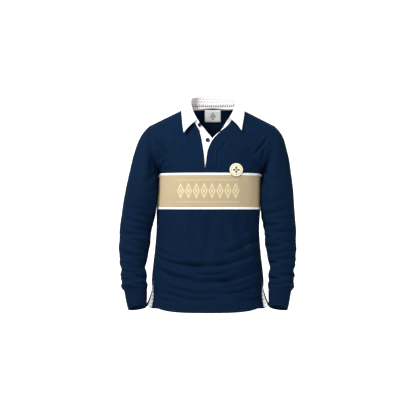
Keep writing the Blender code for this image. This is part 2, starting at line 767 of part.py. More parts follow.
def neck_label(look, back):
    """The label sewn inside the back of the neck."""
    points = []
    skin = bvh_of(back)
    out = CLOTH_WALL / 2 + 2 * LAY_GAP + TAPE_WALL / 2
    for row in range(4):
        for column in range(5):
            x = 0.002 + LABEL_WIDTH * (column / 4 - 0.5)
            z = -0.006 - LABEL_HEIGHT * row / 3
            points.append(on_skin(skin, Vector((x, 0, z)), Vector((0, 1, 0)), out))
    return sheet("neck_label", points, grid_faces(4, 5), look, TAPE_WALL)


def placket_facing(look, columns=5, rows=13):
    """The white facing behind the edge that fastens over. It shows as a thin line where that edge is
    turned back."""
    points = []
    for row in range(rows):
        size = FACING.at(row / (rows - 1))
        reveal = 0.0030 - 0.0048 * smooth((size.free_rise - 0.40) / 0.05)
        for column in range(columns):
            share = column / (columns - 1)
            rise = size.free_rise + (size.sewn_rise - size.free_rise) * share
            x = size.free_x + reveal + (size.sewn_x - size.free_x - reveal) * share
            points.append(chest_point(x, rise, -CLOTH_WALL / 2 - LAY_GAP - TAPE_WALL / 2))
    return sheet("placket_facing", points, grid_faces(rows, columns), look, TAPE_WALL)


def under_placket(look, columns=6, rows=13):
    """The white placket under the opening, tucked beneath the chest's edge on the wearer's right."""
    points = []
    for row in range(rows):
        rise = 0.06 + (FRONT_RISES[NECK_ROW] - 0.06) * row / (rows - 1)
        size = UNDER_PLACKET.at(rise)
        for column in range(columns):
            share = column / (columns - 1)
            x = size.sewn_x + (size.free_x - size.sewn_x) * share
            deeper = 0.0026 * smooth(share * 2.0) * smooth((0.56 - rise) / 0.05)
            points.append(chest_point(x, rise, -CLOTH_WALL - LAY_GAP - deeper))
    return sheet("under_placket", points, grid_faces(rows, columns), look)


def vent_tape(side, look, back):
    """The tape inside the back's edge at one vent. It keeps to the back's own rows, so that both bend
    alike."""
    points = []
    out = CLOTH_WALL / 2 + 2.2 * LAY_GAP + TAPE_WALL / 2
    for row in range(VENT_ROWS):
        first = row * (2 * SIDE_COLUMNS + 1) + (0 if side < 0 else SIDE_COLUMNS)
        edge, middle, hinge = (back.data.vertices[first + SIDE_COLUMNS - k] for k in range(3))
        for share in (0.5, 1.1, 1.76):
            a, b, between = (edge, middle, share) if share < 1 else (middle, hinge, share - 1)
            points.append(a.co.lerp(b.co, between) - a.normal.lerp(b.normal, between).normalized() * out)
    name = "vent_tape_left" if side > 0 else "vent_tape_right"
    return sheet(name, points, grid_faces(VENT_ROWS, 3), look, TAPE_WALL)


def chest_patch(look, front, sides=20):
    """The round patch sewn on the chest, over the hoop's upper edge."""
    skin = bvh_of(*front)
    points = []
    out = CLOTH_WALL / 2 + 2 * LAY_GAP + TAPE_WALL / 2
    for radius in (0.0, 0.5, 1.0):
        for k in range(sides if radius else 1):
            angle = 2 * math.pi * k / sides
            x = PATCH_X + PATCH_RADIUS * radius * math.cos(angle)
            z = PATCH_Z + PATCH_RADIUS * radius * math.sin(angle)
            points.append(on_skin(skin, Vector((x, -0.3, z)), Vector((0, 1, 0)), out))
    faces = [(0, 1 + k, 1 + (k + 1) % sides) for k in range(sides)]
    for k in range(sides):
        after = (k + 1) % sides
        faces.append((1 + k, 1 + sides + k, 1 + sides + after, 1 + after))
    return sheet("chest_patch", points, faces, look, TAPE_WALL)


def button(name, centre, normal, look, sides=16):
    """A flat round button with a raised rim, lying with its back at centre."""
    turn = normal.to_track_quat("Z", "Y")
    profile = ((0.0, 0.62), (0.62, 0.62), (0.72, 1.0), (0.92, 1.0), (1.0, 0.75), (1.0, 0.2), (0.86, 0.0), (0.0, 0.0))
    points, rings = [], []
    for radius, height in profile:
        ring = []
        for k in range(sides if radius else 1):
            angle = 2 * math.pi * k / sides
            local = Vector((radius * math.cos(angle), radius * math.sin(angle), 0)) * BUTTON_RADIUS
            local.z = height * BUTTON_THICKNESS
            ring.append(len(points))
            points.append(centre + turn @ local)
        rings.append(ring)
    faces = []
    for upper, lower in zip(rings, rings[1:]):
        for k in range(sides):
            after = (k + 1) % sides
            face = [upper[k % len(upper)], lower[k % len(lower)], lower[after % len(lower)], upper[after % len(upper)]]
            faces.append(tuple(dict.fromkeys(face)))
    mesh = bpy.data.meshes.new(name)
    mesh.from_pydata(points, [], faces)
    mesh.materials.append(look)
    made = bpy.data.objects.new(name, mesh)
    bpy.context.collection.objects.link(made)
    return made


def main():
    for old in list(bpy.data.objects):
        bpy.data.objects.remove(old)
    navy = material("navy_jersey", NAVY, 0.85)
    rib = material("navy_rib", RIB, 0.90)
    white = material("white_jersey", WHITE, 0.85)
    drill = material("white_drill", WHITE, 0.80)
    tape = material("white_tape", WHITE, 0.75)
    tan = material("tan_jersey", TAN, 0.85)
    cream = material("cream_patch", CREAM, 0.80)
    plastic = material("navy_button", RIB, 0.35)
    front = [
        front_upper(navy),
        front_strip("chest_stripe_top", HOOP_TOP, HOOP_TOP - STRIPE, 2, white),
        front_strip("chest_band", HOOP_TOP - STRIPE, HOOP_BOTTOM + STRIPE, 6, tan),
        front_strip("chest_stripe_bottom", HOOP_BOTTOM + STRIPE, HOOP_BOTTOM, 2, white),
        front_lower(navy),
    ]
    back = back_panel(navy)
    for side, word in ((-1, "right"), (1, "left")):
        tube(f"sleeve_{word}", side, SLEEVE_RING_STATIONS, navy)
        tube(f"cuff_{word}", side, [CUFF_START, 20.6, 21.3, CUFF_END], rib, fold=False)
        vent_tape(side, tape, back)
    body = bvh_of(*front, back)
    columns = collar_columns({-1: neckline(-1), 1: neckline(1)}, body)
    collar(drill, columns, body)
    neck_tape(tape, columns)
    neck_label(tape, back)
    under_placket(drill)
    placket_facing(tape)
    chest_patch(cream, front)
    spots = [stand_point(base, fold, away, 0.55) for _, base, fold, _, away in columns[2:4]]
    out = (stand_out(columns, 2) + stand_out(columns, 3)).normalized()
    button("button_top", (spots[0] + spots[1]) / 2 + out * (COLLAR_WALL / 2 + 5 * LAY_GAP), out, plastic)
    here = chest_point(-0.013, 0.473, 0.0)
    ahead = (chest_point(-0.013, 0.473, 0.01) - here).normalized()
    button("button_middle", here + ahead * -0.0032, ahead, plastic)


main()
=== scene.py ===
# %% [markdown]
# A long-sleeved rugby jersey, filled out as if someone were wearing it, with nobody inside.
# The measured model gives every panel its place. This script turns those plain panels into cloth:
# a thin outer shell with creases, knit, stitching, tapes, buttons and a collar.

# %% Load the measured model
import math
from contextlib import contextmanager

import bmesh
import bpy
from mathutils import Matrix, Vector, noise
from mathutils.bvhtree import BVHTree
from mathutils.kdtree import KDTree


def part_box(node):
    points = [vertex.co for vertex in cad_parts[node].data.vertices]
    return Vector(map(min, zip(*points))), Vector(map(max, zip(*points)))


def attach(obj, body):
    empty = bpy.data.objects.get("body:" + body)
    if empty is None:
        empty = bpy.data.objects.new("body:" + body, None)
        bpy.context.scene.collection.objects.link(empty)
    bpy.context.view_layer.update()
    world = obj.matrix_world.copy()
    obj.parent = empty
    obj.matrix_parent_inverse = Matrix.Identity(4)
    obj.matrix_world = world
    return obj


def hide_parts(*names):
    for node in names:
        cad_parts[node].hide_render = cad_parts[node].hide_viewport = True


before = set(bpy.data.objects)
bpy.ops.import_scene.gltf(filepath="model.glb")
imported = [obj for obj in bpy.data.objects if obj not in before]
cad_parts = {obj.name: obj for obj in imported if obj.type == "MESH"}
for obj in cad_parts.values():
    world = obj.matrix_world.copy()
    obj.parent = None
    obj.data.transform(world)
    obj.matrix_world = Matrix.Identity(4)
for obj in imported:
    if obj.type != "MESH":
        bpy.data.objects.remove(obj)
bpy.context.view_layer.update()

# %% [markdown]
# The camera stands straight in front, level with the chest, with a long lens, as a catalogue
# photograph is taken. Depth of field stays off.

# %% Camera
scene = bpy.context.scene
bpy.ops.object.camera_add(location=(-0.0154, -3.44, -0.3535), rotation=(math.radians(90), 0, 0))
camera = bpy.context.object
camera.name = "camera"
camera.data.lens = 85
camera.data.sensor_width = 36
scene.camera = camera
scene.view_settings.view_transform = "Standard"

# %% [markdown]
# The studio is one white sheet, a floor that curves up into a wall, lit by four soft lights. The one
# at the upper left is much the strongest, so that folds show a lit and a shaded side.

# %% Studio
def soft_light(name, place, aim, size, watts):
    bpy.ops.object.light_add(type="AREA", location=place)
    light = bpy.context.object
    light.name = name
    light.data.shape = "DISK"
    light.data.size = size
    light.data.energy = watts
    light.rotation_euler = (Vector(aim) - Vector(place)).to_track_quat("-Z", "Y").to_euler()


MIDDLE = (-0.01, 0.0, -0.38)
soft_light("key_light", (-1.4, -1.3, 1.95), MIDDLE, 0.6, 132)
soft_light("front_light", (-0.5, -3.2, 0.9), (0.0, 0.0, -0.1), 1.0, 15)
soft_light("right_light", (2.2, -1.6, 0.3), MIDDLE, 1.4, 21)
soft_light("back_light", (0.6, 2.0, 1.6), MIDDLE, 1.8, 20)
world = bpy.data.worlds.new("studio_air")
scene.world = world
world.use_nodes = True
air = world.node_tree.nodes["Background"].inputs
air["Color"].default_value = (1, 1, 1, 1)
air["Strength"].default_value = 0.22


def new_object(name, form):
    """A new object in the scene, made from a form that is then let go."""
    mesh = bpy.data.meshes.new(name)
    form.to_mesh(mesh)
    form.free()
    piece = bpy.data.objects.new(name, mesh)
    scene.collection.objects.link(piece)
    return piece


FLOOR_Z, FLOOR_START, BEND_START, BEND, WALL_TOP, HALF_WIDTH = -1.25, -4.5, 1.6, 0.9, 3.2, 5


def studio_sheet():
    """Floor and wall as one strip that bends upwards behind the jersey."""
    path = [(FLOOR_START, FLOOR_Z), (BEND_START, FLOOR_Z)]
    for degrees in range(10, 91, 10):
        turn = math.radians(degrees)
        path.append((BEND_START + BEND * math.sin(turn), FLOOR_Z + BEND - BEND * math.cos(turn)))
    path.append((BEND_START + BEND, WALL_TOP))
    form = bmesh.new()
    rows = [[form.verts.new((x, y, z)) for x in (-HALF_WIDTH, HALF_WIDTH)] for y, z in path]
    for low, high in zip(rows, rows[1:]):
        form.faces.new((low[0], low[1], high[1], high[0]))
    sheet = new_object("studio_sheet", form)
    sheet.data.shade_smooth()
    paper = bpy.data.materials.new("studio_paper")
    paper.use_nodes = True
    surface = paper.node_tree.nodes["Principled BSDF"]
    surface.inputs["Base Color"].default_value = (0.9, 0.9, 0.9, 1)
    surface.inputs["Roughness"].default_value = 0.9
    surface.inputs["Emission Color"].default_value = (1, 1, 1, 1)
    surface.inputs["Emission Strength"].default_value = 0.5
    sheet.data.materials.append(paper)
    print("studio strip of", len(rows), "rows")


studio_sheet()

# %% [markdown]
# Every material is built from the same few parts, so the arithmetic of a weave can be written as
# ordinary sums. A Wire is one number that varies over a surface.

# %% Shader arithmetic
def both_ways(how):
    """A sum that adds a Math node, and its reflected form, for when the plain number comes first."""
    return lambda self, other: self.work(how, self, other), lambda self, other: self.work(how, other, self)


class Wire:
    """One varying number of a material, on which Python's arithmetic works."""

    def __init__(self, shader, socket):
        self.shader = shader
        self.socket = socket

    def work(self, how, *values):
        node = self.shader.tree.nodes.new("ShaderNodeMath")
        node.operation = how
        for socket, value in zip(node.inputs, values):
            self.shader.feed(socket, value)
        return Wire(self.shader, node.outputs[0])

    __add__, __radd__ = both_ways("ADD")
    __sub__, __rsub__ = both_ways("SUBTRACT")
    __mul__, __rmul__ = both_ways("MULTIPLY")
    __truediv__, __rtruediv__ = both_ways("DIVIDE")

    def __lt__(self, other):
        return self.work("LESS_THAN", self, other)

    def __gt__(self, other):
        return self.work("GREATER_THAN", self, other)

    def __abs__(self):
        return self.work("ABSOLUTE", self)

    def beyond(self, step):
        """The part left over after whole steps, from 0 to step."""
        return self.work("FLOORED_MODULO", self, step)

    def ridge(self):
        """A zigzag that is 0 at each whole number and 1 halfway between."""
        return 1 - abs(self.beyond(1.0) - 0.5) * 2

    def least(self, other):
        return self.work("MINIMUM", self, other)

    def most(self, other):
        return self.work("MAXIMUM", self, other)

# %% [markdown]
# A Shader is one material. Its node method makes any node there is: the settings come first, because
# some of them decide which sockets the node has.

# %% A material and its nodes
class Shader:
    """A material under one name, with its colour, roughness and bump fed by Wires."""

    def __init__(self, name):
        self.material = bpy.data.materials.new(name)
        self.material.use_nodes = True
        self.tree = self.material.node_tree
        self.surface = self.tree.nodes["Principled BSDF"]

    def feed(self, socket, value):
        if isinstance(value, Wire):
            self.tree.links.new(value.socket, socket)
        elif socket.type == "RGBA":
            socket.default_value = (*value[:3], 1)
        else:
            socket.default_value = value

    def node(self, kind, output, settings=None, sockets=None):
        made = self.tree.nodes.new("ShaderNode" + kind)
        for key, value in (settings or {}).items():
            setattr(made, key, value)
        for key, value in (sockets or {}).items():
            self.feed(made.inputs[key], value)
        return Wire(self, made.outputs[output])

    def flat_place(self):
        """Across and up the cloth, in metres, from the piece's own flat map."""
        return self.split(self.node("UVMap", "UV", {"uv_map": "cloth"}))[:2]

    def place(self):
        """The three coordinates of the object, in metres."""
        return self.split(self.node("TexCoord", "Object"))

    def split(self, where):
        outputs = self.node("SeparateXYZ", "X", None, {0: where}).socket.node.outputs
        return [Wire(self, output) for output in outputs]

    def noise(self, scale, detail=2.0):
        where = self.node("TexCoord", "Object")
        sockets = {"Vector": where, "Scale": scale, "Detail": detail, "Roughness": 0.5}
        return self.node("TexNoise", "Fac", None, sockets)

    def blend(self, factor, first, second):
        return self.node("Mix", 2, {"data_type": "RGBA"}, {0: factor, 6: first, 7: second})

    def bump(self, height, depth):
        return self.node("Bump", 0, None, {"Strength": 1.0, "Distance": depth, "Height": height})

    def finish(self, colour, roughness, normal, **constants):
        self.feed(self.surface.inputs["Base Color"], colour)
        self.feed(self.surface.inputs["Roughness"], roughness)
        self.feed(self.surface.inputs["Normal"], normal)
        for name, value in constants.items():
            self.feed(self.surface.inputs[name.replace("_", " ").title().replace("Ior", "IOR")], value)
        return self.material

# %% [markdown]
# The cloth is a heavy cotton jersey. Its face shows columns of small V-shaped loops, a little over a
# millimetre wide, which only close views resolve. From further off it is matt, faintly mottled where
# the dye took unevenly, and a touch lighter where folds have rubbed.

# %% Jersey, rib and woven cloth
LOOP_WIDTH, LOOP_HEIGHT = 0.00125, 0.0010


def loops(shader):
    """How high the knit stands, 0 to 1: columns of V-shaped loops."""
    across, up = shader.flat_place()
    side = abs((across / LOOP_WIDTH).beyond(1.0) - 0.5) * 2
    return (up / LOOP_HEIGHT + side * 0.55).ridge() * 0.6 + (1 - side) * 0.4


def knit(name, colour, worn, sheen=0.0, pattern=None):
    """Jersey knit: its colour mottled towards a worn one, and darker between the loops as painted shade."""
    shader = Shader(name)
    height = loops(shader)
    mottled = shader.noise(38.0, 3.0)
    pilled = shader.noise(900.0, 2.0)
    base = shader.blend((mottled - 0.35) * 1.1, colour, worn)
    if pattern is not None:
        base = pattern(shader, base)
    # Painted shade: the hollows between the loops are darkened.
    shaded = shader.blend((1 - height) * 0.22, base, [c * 0.35 for c in colour])
    normal = shader.bump(height + pilled * 0.35, 0.00022)
    return shader.finish(
        shaded, mottled * 0.10 + 0.83, normal,
        sheen_weight=sheen, sheen_roughness=0.45, sheen_tint=worn, specular_ior_level=0.03,
    )


NAVY, NAVY_WORN = (0.0024, 0.0106, 0.0305), (0.0036, 0.0146, 0.0400)
CREAM = (0.80, 0.72, 0.46)


RIB_WIDTH, RIB_LOOP = 0.0024, 0.0011


def ribbed(name, colour, worn):
    """Knitted rib: rounded columns with dark valleys between them, the dark being painted shade."""
    shader = Shader(name)
    across, up = shader.flat_place()
    column = (across / RIB_WIDTH).ridge()
    loop = (up / RIB_LOOP + column * 0.5).ridge()
    height = (column * 1.6).least(1.0) * 0.85 + loop * 0.15
    mottled = shader.noise(45.0, 3.0)
    base = shader.blend((mottled - 0.35) * 1.1, colour, worn)
    # Painted shade: the valleys between the rib's columns are darkened.
    shaded = shader.blend((1 - height) * 0.55, base, [c * 0.25 for c in colour])
    return shader.finish(
        shaded, mottled * 0.10 + 0.86, shader.bump(height, 0.0007),
        sheen_weight=0.0, specular_ior_level=0.02,
    )


def woven(name, colour, shade, twill=0.0009, roughness=0.78, pattern=None):
    """Close cotton drill: fine slanting lines and a slightly uneven white."""
    shader = Shader(name)
    across, up = shader.flat_place()
    line = ((across + up * 0.8) / twill).ridge()
    thread = (up / (twill * 0.45)).ridge()
    height = line * 0.7 + thread * 0.3
    uneven = shader.noise(24.0, 3.0)
    base = shader.blend((uneven - 0.3) * 1.2, colour, shade)
    if pattern is not None:
        base = pattern(shader, base)
    # Painted shade: the low parts of the twill are darkened a little.
    shaded = shader.blend((1 - height) * 0.10, base, [c * 0.6 for c in shade])
    return shader.finish(
        shaded, uneven * 0.12 + roughness - 0.06, shader.bump(height + uneven * 0.4, 0.00014),
        sheen_weight=0.06, sheen_roughness=0.5, specular_ior_level=0.25,
    )

# %% [markdown]
# The band across the chest carries a printed pattern in cream, close to the tan in tone. It is a
# plain geometric border: a row of tall lozenges between two thin rules. Each is a sum of distances,
# so it has clean edges at any size.

# %% The band's lozenges
BAND_LEFT, BAND_RIGHT = -0.122, 0.092
BAND_LOW, BAND_HIGH = -0.324, -0.266
LOZENGES = 8
LOW_RULE, HIGH_RULE, RULE_HALF = BAND_LOW - 0.0085, BAND_HIGH + 0.0075, 0.0006


def lozenge_border(shader, base):
    x, _, z = shader.place()
    pitch = (BAND_RIGHT - BAND_LEFT) / LOZENGES
    within = (x > BAND_LEFT) * (x < BAND_RIGHT)
    across = abs(((x - BAND_LEFT) / pitch).beyond(1.0) - 0.5) * 2
    up = abs(z - (BAND_LOW + BAND_HIGH) / 2) / ((BAND_HIGH - BAND_LOW) / 2)
    far = across * 1.08 + up * 1.08
    ring = (far < 1.0) * (far > 0.66)
    heart = far < 0.34
    rules = (abs(z - LOW_RULE) < RULE_HALF).most(abs(z - HIGH_RULE) < RULE_HALF)
    shape = ring.most(heart).most(rules) * within
    rubbed = shader.noise(420.0, 2.0) * 0.30 + 0.42
    return shader.blend(shape * rubbed, base, CREAM)


def tape_print(shader, base):
    """Small dark lozenges and bars in turn along the neck tape."""
    pitch, gem_half, bar_half, middle, half_height = 0.0165, 0.0036, 0.00245, 0.0080, 0.0058
    across, up = shader.flat_place()
    place = (across / pitch).beyond(1.0)
    lift = abs(up - middle) / half_height
    gem = (abs(place - 0.25) * pitch / gem_half + lift) < 1.0
    bar = (abs(place - 0.75) * pitch < bar_half) * (lift < 0.72)
    return shader.blend(gem.most(bar), base, (0.004, 0.004, 0.006))


def vent_print(shader, base):
    """The same row, smaller, up a vent's tape."""
    pitch = 0.026
    across, up = shader.flat_place()
    place = (up / pitch).beyond(1.0)
    off = abs(across)
    gem = (abs(place - 0.25) * 6.0 + off / 0.0032) < 1.0
    bar = (abs(place - 0.70) < 0.13) * (off < 0.0013)
    return shader.blend(gem.most(bar) * 0.8, base, (0.05, 0.06, 0.10))


LOOKS = {
    "navy": knit("navy_jersey_cloth", NAVY, NAVY_WORN),
    "white": knit("white_jersey_cloth", (0.86, 0.86, 0.855), (0.80, 0.80, 0.80), 0.04),
    "tan": knit("tan_jersey_cloth", (0.430, 0.338, 0.215), (0.400, 0.306, 0.186), 0.04, lozenge_border),
    "rib": ribbed("navy_rib_cloth", (0.0034, 0.0110, 0.030), (0.0048, 0.0150, 0.040)),
    "drill": woven("white_drill_cloth", (0.82, 0.82, 0.82), (0.76, 0.757, 0.752)),
    "placket": woven("white_placket_cloth", (0.90, 0.90, 0.90), (0.83, 0.83, 0.83)),
    "tape": woven("white_tape_cloth", (0.76, 0.76, 0.76), (0.70, 0.70, 0.70), 0.0013, pattern=tape_print),
    "vent": woven("white_vent_tape", (0.86, 0.86, 0.86), (0.78, 0.78, 0.78), 0.0013, pattern=vent_print),
}
print("looks so far:", ", ".join(LOOKS))

# %% [markdown]
# A measured panel is a closed slab of cloth. A sewn garment is seen from its outer face, so each slab
# is copied, its loose triangles are merged, and its outer skin is peeled off. Where two faces meet at
# a sharp angle is the cut edge of the cloth, so a skin is whatever can be reached without crossing one.

# %% Peel the outer skin of a panel
def select_only(piece):
    bpy.ops.object.select_all(action="DESELECT")
    piece.select_set(True)
    bpy.context.view_layer.objects.active = piece


def turn_to_quads(piece):
    select_only(piece)
    bpy.ops.object.mode_set(mode="EDIT")
    bpy.ops.mesh.select_all(action="SELECT")
    bpy.ops.mesh.tris_convert_to_quads(face_threshold=math.radians(40), shape_threshold=math.radians(60))
    bpy.ops.object.mode_set(mode="OBJECT")


@contextmanager
def reshaped(mesh):
    """A form to change a mesh by, written back at the end."""
    form = bmesh.new()
    form.from_mesh(mesh)
    yield form
    form.to_mesh(mesh)
    form.free()


def copy_of(node, name):
    """A free copy of a measured piece, with its loose triangles merged."""
    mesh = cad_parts[node].data.copy()
    mesh.name = name
    mesh.materials.clear()
    with reshaped(mesh) as form:
        bmesh.ops.remove_doubles(form, verts=form.verts, dist=0.00002)
        bmesh.ops.recalc_face_normals(form, faces=form.faces)
    for layer in list(mesh.uv_layers):
        mesh.uv_layers.remove(layer)
    piece = bpy.data.objects.new(name, mesh)
    scene.collection.objects.link(piece)
    return piece


CUT_EDGE = math.radians(52)


def skin_from(first, left):
    """All the faces that can be reached from the first without crossing a cut edge."""
    skin, rim = [first], [first]
    while rim:
        face = rim.pop()
        for near in (near for edge in face.edges for near in edge.link_faces):
            if near in left and face.normal.angle(near.normal, 0) < CUT_EDGE:
                left.discard(near)
                skin.append(near)
                rim.append(near)
    return skin


def peel(piece, axis):
    """Keep only the skin that faces away from the axis, which gives the middle of the tube at a point."""
    def outward(skin):
        total = 0.0
        for face in skin:
            middle = face.calc_center_median()
            total += face.calc_area() * face.normal.dot((middle - axis(middle)).normalized())
        return total
    with reshaped(piece.data) as form:
        left, skins = set(form.faces), []
        while left:
            skins.append(skin_from(left.pop(), left))
        keep = set(max(skins, key=outward))
        bmesh.ops.delete(form, geom=[f for f in form.faces if f not in keep], context="FACES")


def body_axis(point):
    return Vector((-0.012, 0.0, point.z))

# %% [markdown]
# Creases are laid out on a flat plan of each part: x across and z up for the body, and
# degrees round and z for a sleeve. Each is a soft trough with a low lip on both sides, drawn between
# two points and sagging in the middle. Lengths in the tables are millimetres.

# %% Creases
def smooth(value):
    value = min(max(value, 0.0), 1.0)
    return value * value * (3 - 2 * value)


class Crease:
    """One trough on a flat plan, from one point to another."""

    def __init__(self, across_a, z_a, across_b, z_b, sag, width, depth):
        self.start = (across_a, z_a)
        self.run = (across_b - across_a, z_b - z_a)
        self.square = self.run[0] ** 2 + self.run[1] ** 2
        self.sag, self.width, self.depth = sag, width, depth

    def at(self, across, z):
        share = ((across - self.start[0]) * self.run[0] + (z - self.start[1]) * self.run[1]) / self.square
        if not -0.15 < share < 1.15:
            return 0.0
        ends = smooth((share + 0.15) / 0.4) * smooth((1.15 - share) / 0.4)
        middle_across = self.start[0] + self.run[0] * share
        middle_z = self.start[1] + self.run[1] * share - self.sag * 4 * max(share * (1 - share), 0)
        off = math.hypot(across - middle_across, z - middle_z) / self.width
        if off > 4:
            return 0.0
        return self.depth * ends * (math.exp(-off * off) - 0.4 * math.exp(-((off - 1.9) ** 2)))


def body_creases(*rows):
    return [Crease(*(value / 1000 for value in row)) for row in rows]


SLEEVE_ROUND = 0.050


def sleeve_creases(*rows):
    """As for the body, but across is given in degrees round a sleeve of radius SLEEVE_ROUND."""
    round_mm = math.radians(1) * SLEEVE_ROUND * 1000
    return body_creases(*((row[0] * round_mm, row[1], row[2] * round_mm, *row[3:]) for row in rows))

# %% [markdown]
# The tables follow the photograph in front: folds fan out from the armholes, and long swags hang over
# the hem. The back isn't shown, so it has a few soft ones.

# %% Creases of the body
# across_a, z_a, across_b, z_b, sag, width, depth
FRONT_CREASES = body_creases(
    (-192, -116, -148, -172, 2, 5, 4.6), (-186, -150, -168, -200, 0, 5, 3.8),
    (-186, -226, -150, -190, 0, 6, 3.4), (-170, -215, -120, -222, 2, 7, 2),
    (192, -112, 150, -168, 2, 5, 4.6), (184, -150, 166, -202, 0, 5, 3.6),
    (186, -222, 146, -186, 0, 6, 3.4), (-62, -79, -40, -118, 0, 6, 3.1),
    (-82, -100, -52, -150, 0, 8, 2), (38, -138, 66, -112, 0, 7, 1.2), (23, -134, 23, -216, 0, 3, 1.6),
    (-8, -221, 20, -221, 0, 3, 1.4), (20, -134, -1, -174, 1, 4.5, 1.5), (50, -130, 28, -160, 1, 5, 1.8),
    (-98, -104, -140, -150, 0, 9, 2), (98, -104, 142, -154, 0, 9, 2),
    (-100, -42, -186, -88, -4, 10, 1.7), (100, -40, 184, -86, -4, 10, 1.7),
    (112, -240, 128, -352, 0, 12, 0.8), (-134, -246, -142, -352, 0, 12, 0.7),
    (-178, -518, -20, -545, 12, 5.7, 6.1), (14, -550, 178, -500, 12, 6.6, 7.2),
    (-170, -560, -40, -590, 10, 5.7, 5.2), (30, -600, 178, -562, 14, 6.6, 8),
    (-60, -575, 74, -572, 6, 5, 4.6), (-152, -615, 30, -640, 12, 6.6, 4.9),
    (44, -642, 172, -610, 10, 5.7, 5.2), (-188, -660, -84, -674, 4, 5.7, 3.9),
    (92, -672, 192, -650, 4, 5.7, 3.9), (96, -398, 132, -505, 0, 12, 3.6),
    (-120, -400, -136, -500, 0, 12, 3.2), (12, -378, -6, -520, 0, 14, 3),
    (-62, -372, -50, -470, 0, 12, 2.3), (152, -386, 122, -450, 0, 8, 2.7),
    (-152, -392, -126, -444, 0, 8, 2.7), (-172, -532, 178, -486, 40, 9.8, 6.2),
    (-165, -572, 180, -545, 45, 9.8, 7.1), (-178, -498, -20, -552, 4, 9, 4.6),
    (60, -512, 176, -440, 6, 9.8, 6.2), (-155, -640, 20, -668, 10, 9.8, 4.3),
)
BACK_CREASES = body_creases(
    (-150, -150, -60, -190, 6, 9, 2.7), (150, -150, 58, -196, 6, 9, 2.7),
    (-172, -420, -20, -452, 10, 9, 4), (22, -430, 168, -404, 10, 9, 3.6),
    (-166, -520, -10, -548, 10, 8, 3.6), (12, -502, 164, -480, 10, 8, 3.6),
    (-150, -600, 44, -622, 12, 8, 3.6), (-30, -578, 150, -602, 10, 8, 3.2),
    (-92, -256, -112, -420, 0, 14, 2.4), (94, -262, 116, -432, 0, 14, 2.4),
    (2, -216, -6, -400, 0, 16, 2.1), (-64, -62, 60, -60, 8, 10, 1.8), (-192, -120, -140, -222, 0, 8, 3),
    (190, -124, 142, -216, 0, 8, 3), (-120, -660, 20, -676, 5, 8, 2.5),
    (50, -662, 160, -650, 5, 8, 2.5),
)

# %% [markdown]
# A sleeve's wrinkles lie closer together towards the cuff. Some run over the front, some over the back.

# %% Creases of the sleeves
# turn_a, z_a, turn_b, z_b, sag, width, depth. Turns go round from the outer line by the front.
LEFT_SLEEVE_CREASES = sleeve_creases(
    (114, -112, 126, -226, 4, 5, 5.6), (96, -128, 112, -272, -3, 9, 3.5),
    (58, -150, 76, -262, 2, 12, 2.6), (176, -238, 178, -318, 0, 14, -3),
    (138, -216, 92, -264, 5, 7, 4.2), (142, -262, 100, -304, 5, 7, 4.2),
    (150, -334, 68, -318, 7, 7, 3.8), (174, -374, 58, -350, 9, 7, 4.6),
    (122, -392, 24, -370, 6, 6, 3.5), (176, -410, 84, -402, 8, 6.5, 4.6),
    (142, -434, 18, -412, 9, 7, 4.3), (179, -454, 98, -440, 6, 5.5, 4.1),
    (112, -464, 12, -455, 7, 6, 3.5), (166, -482, 58, -470, 8, 6, 4.3),
    (96, -494, 8, -484, 5, 5.5, 3.2), (179, -506, 78, -500, 7, 6, 4.3),
    (132, -526, 16, -512, 7, 6, 4.1), (176, -540, 94, -532, 5, 5.5, 3.8),
    (102, -551, 2, -540, 6, 5.5, 3.8), (171, -564, 48, -556, 6, 5.5, 4.6),
    (142, -579, 12, -570, 5, 5.5, 4.3), (179, -591, 68, -586, 5, 5, 4.6),
    (112, -601, -4, -594, 5, 5, 4.3), (171, -612, 38, -607, 4, 4.5, 4.1),
    (122, -621, 6, -618, 3, 4, 3.5), (196, -360, 304, -345, 7, 8, 4.3),
    (190, -402, 290, -392, 8, 8, 4.6), (216, -432, 332, -420, 8, 7, 4.3),
    (186, -466, 282, -455, 8, 7, 4.3), (221, -496, 342, -486, 6, 6.5, 3.8),
    (190, -526, 302, -518, 6, 6, 4.3), (231, -556, 346, -546, 6, 6, 3.8),
    (186, -581, 292, -574, 5, 5.5, 4.3), (240, -602, 350, -594, 5, 5, 3.8),
    (191, -620, 300, -614, 4, 4.5, 3.8), (252, -128, 240, -252, 3, 10, 3.5),
    (292, -150, 276, -284, 2, 11, 2.6),
)
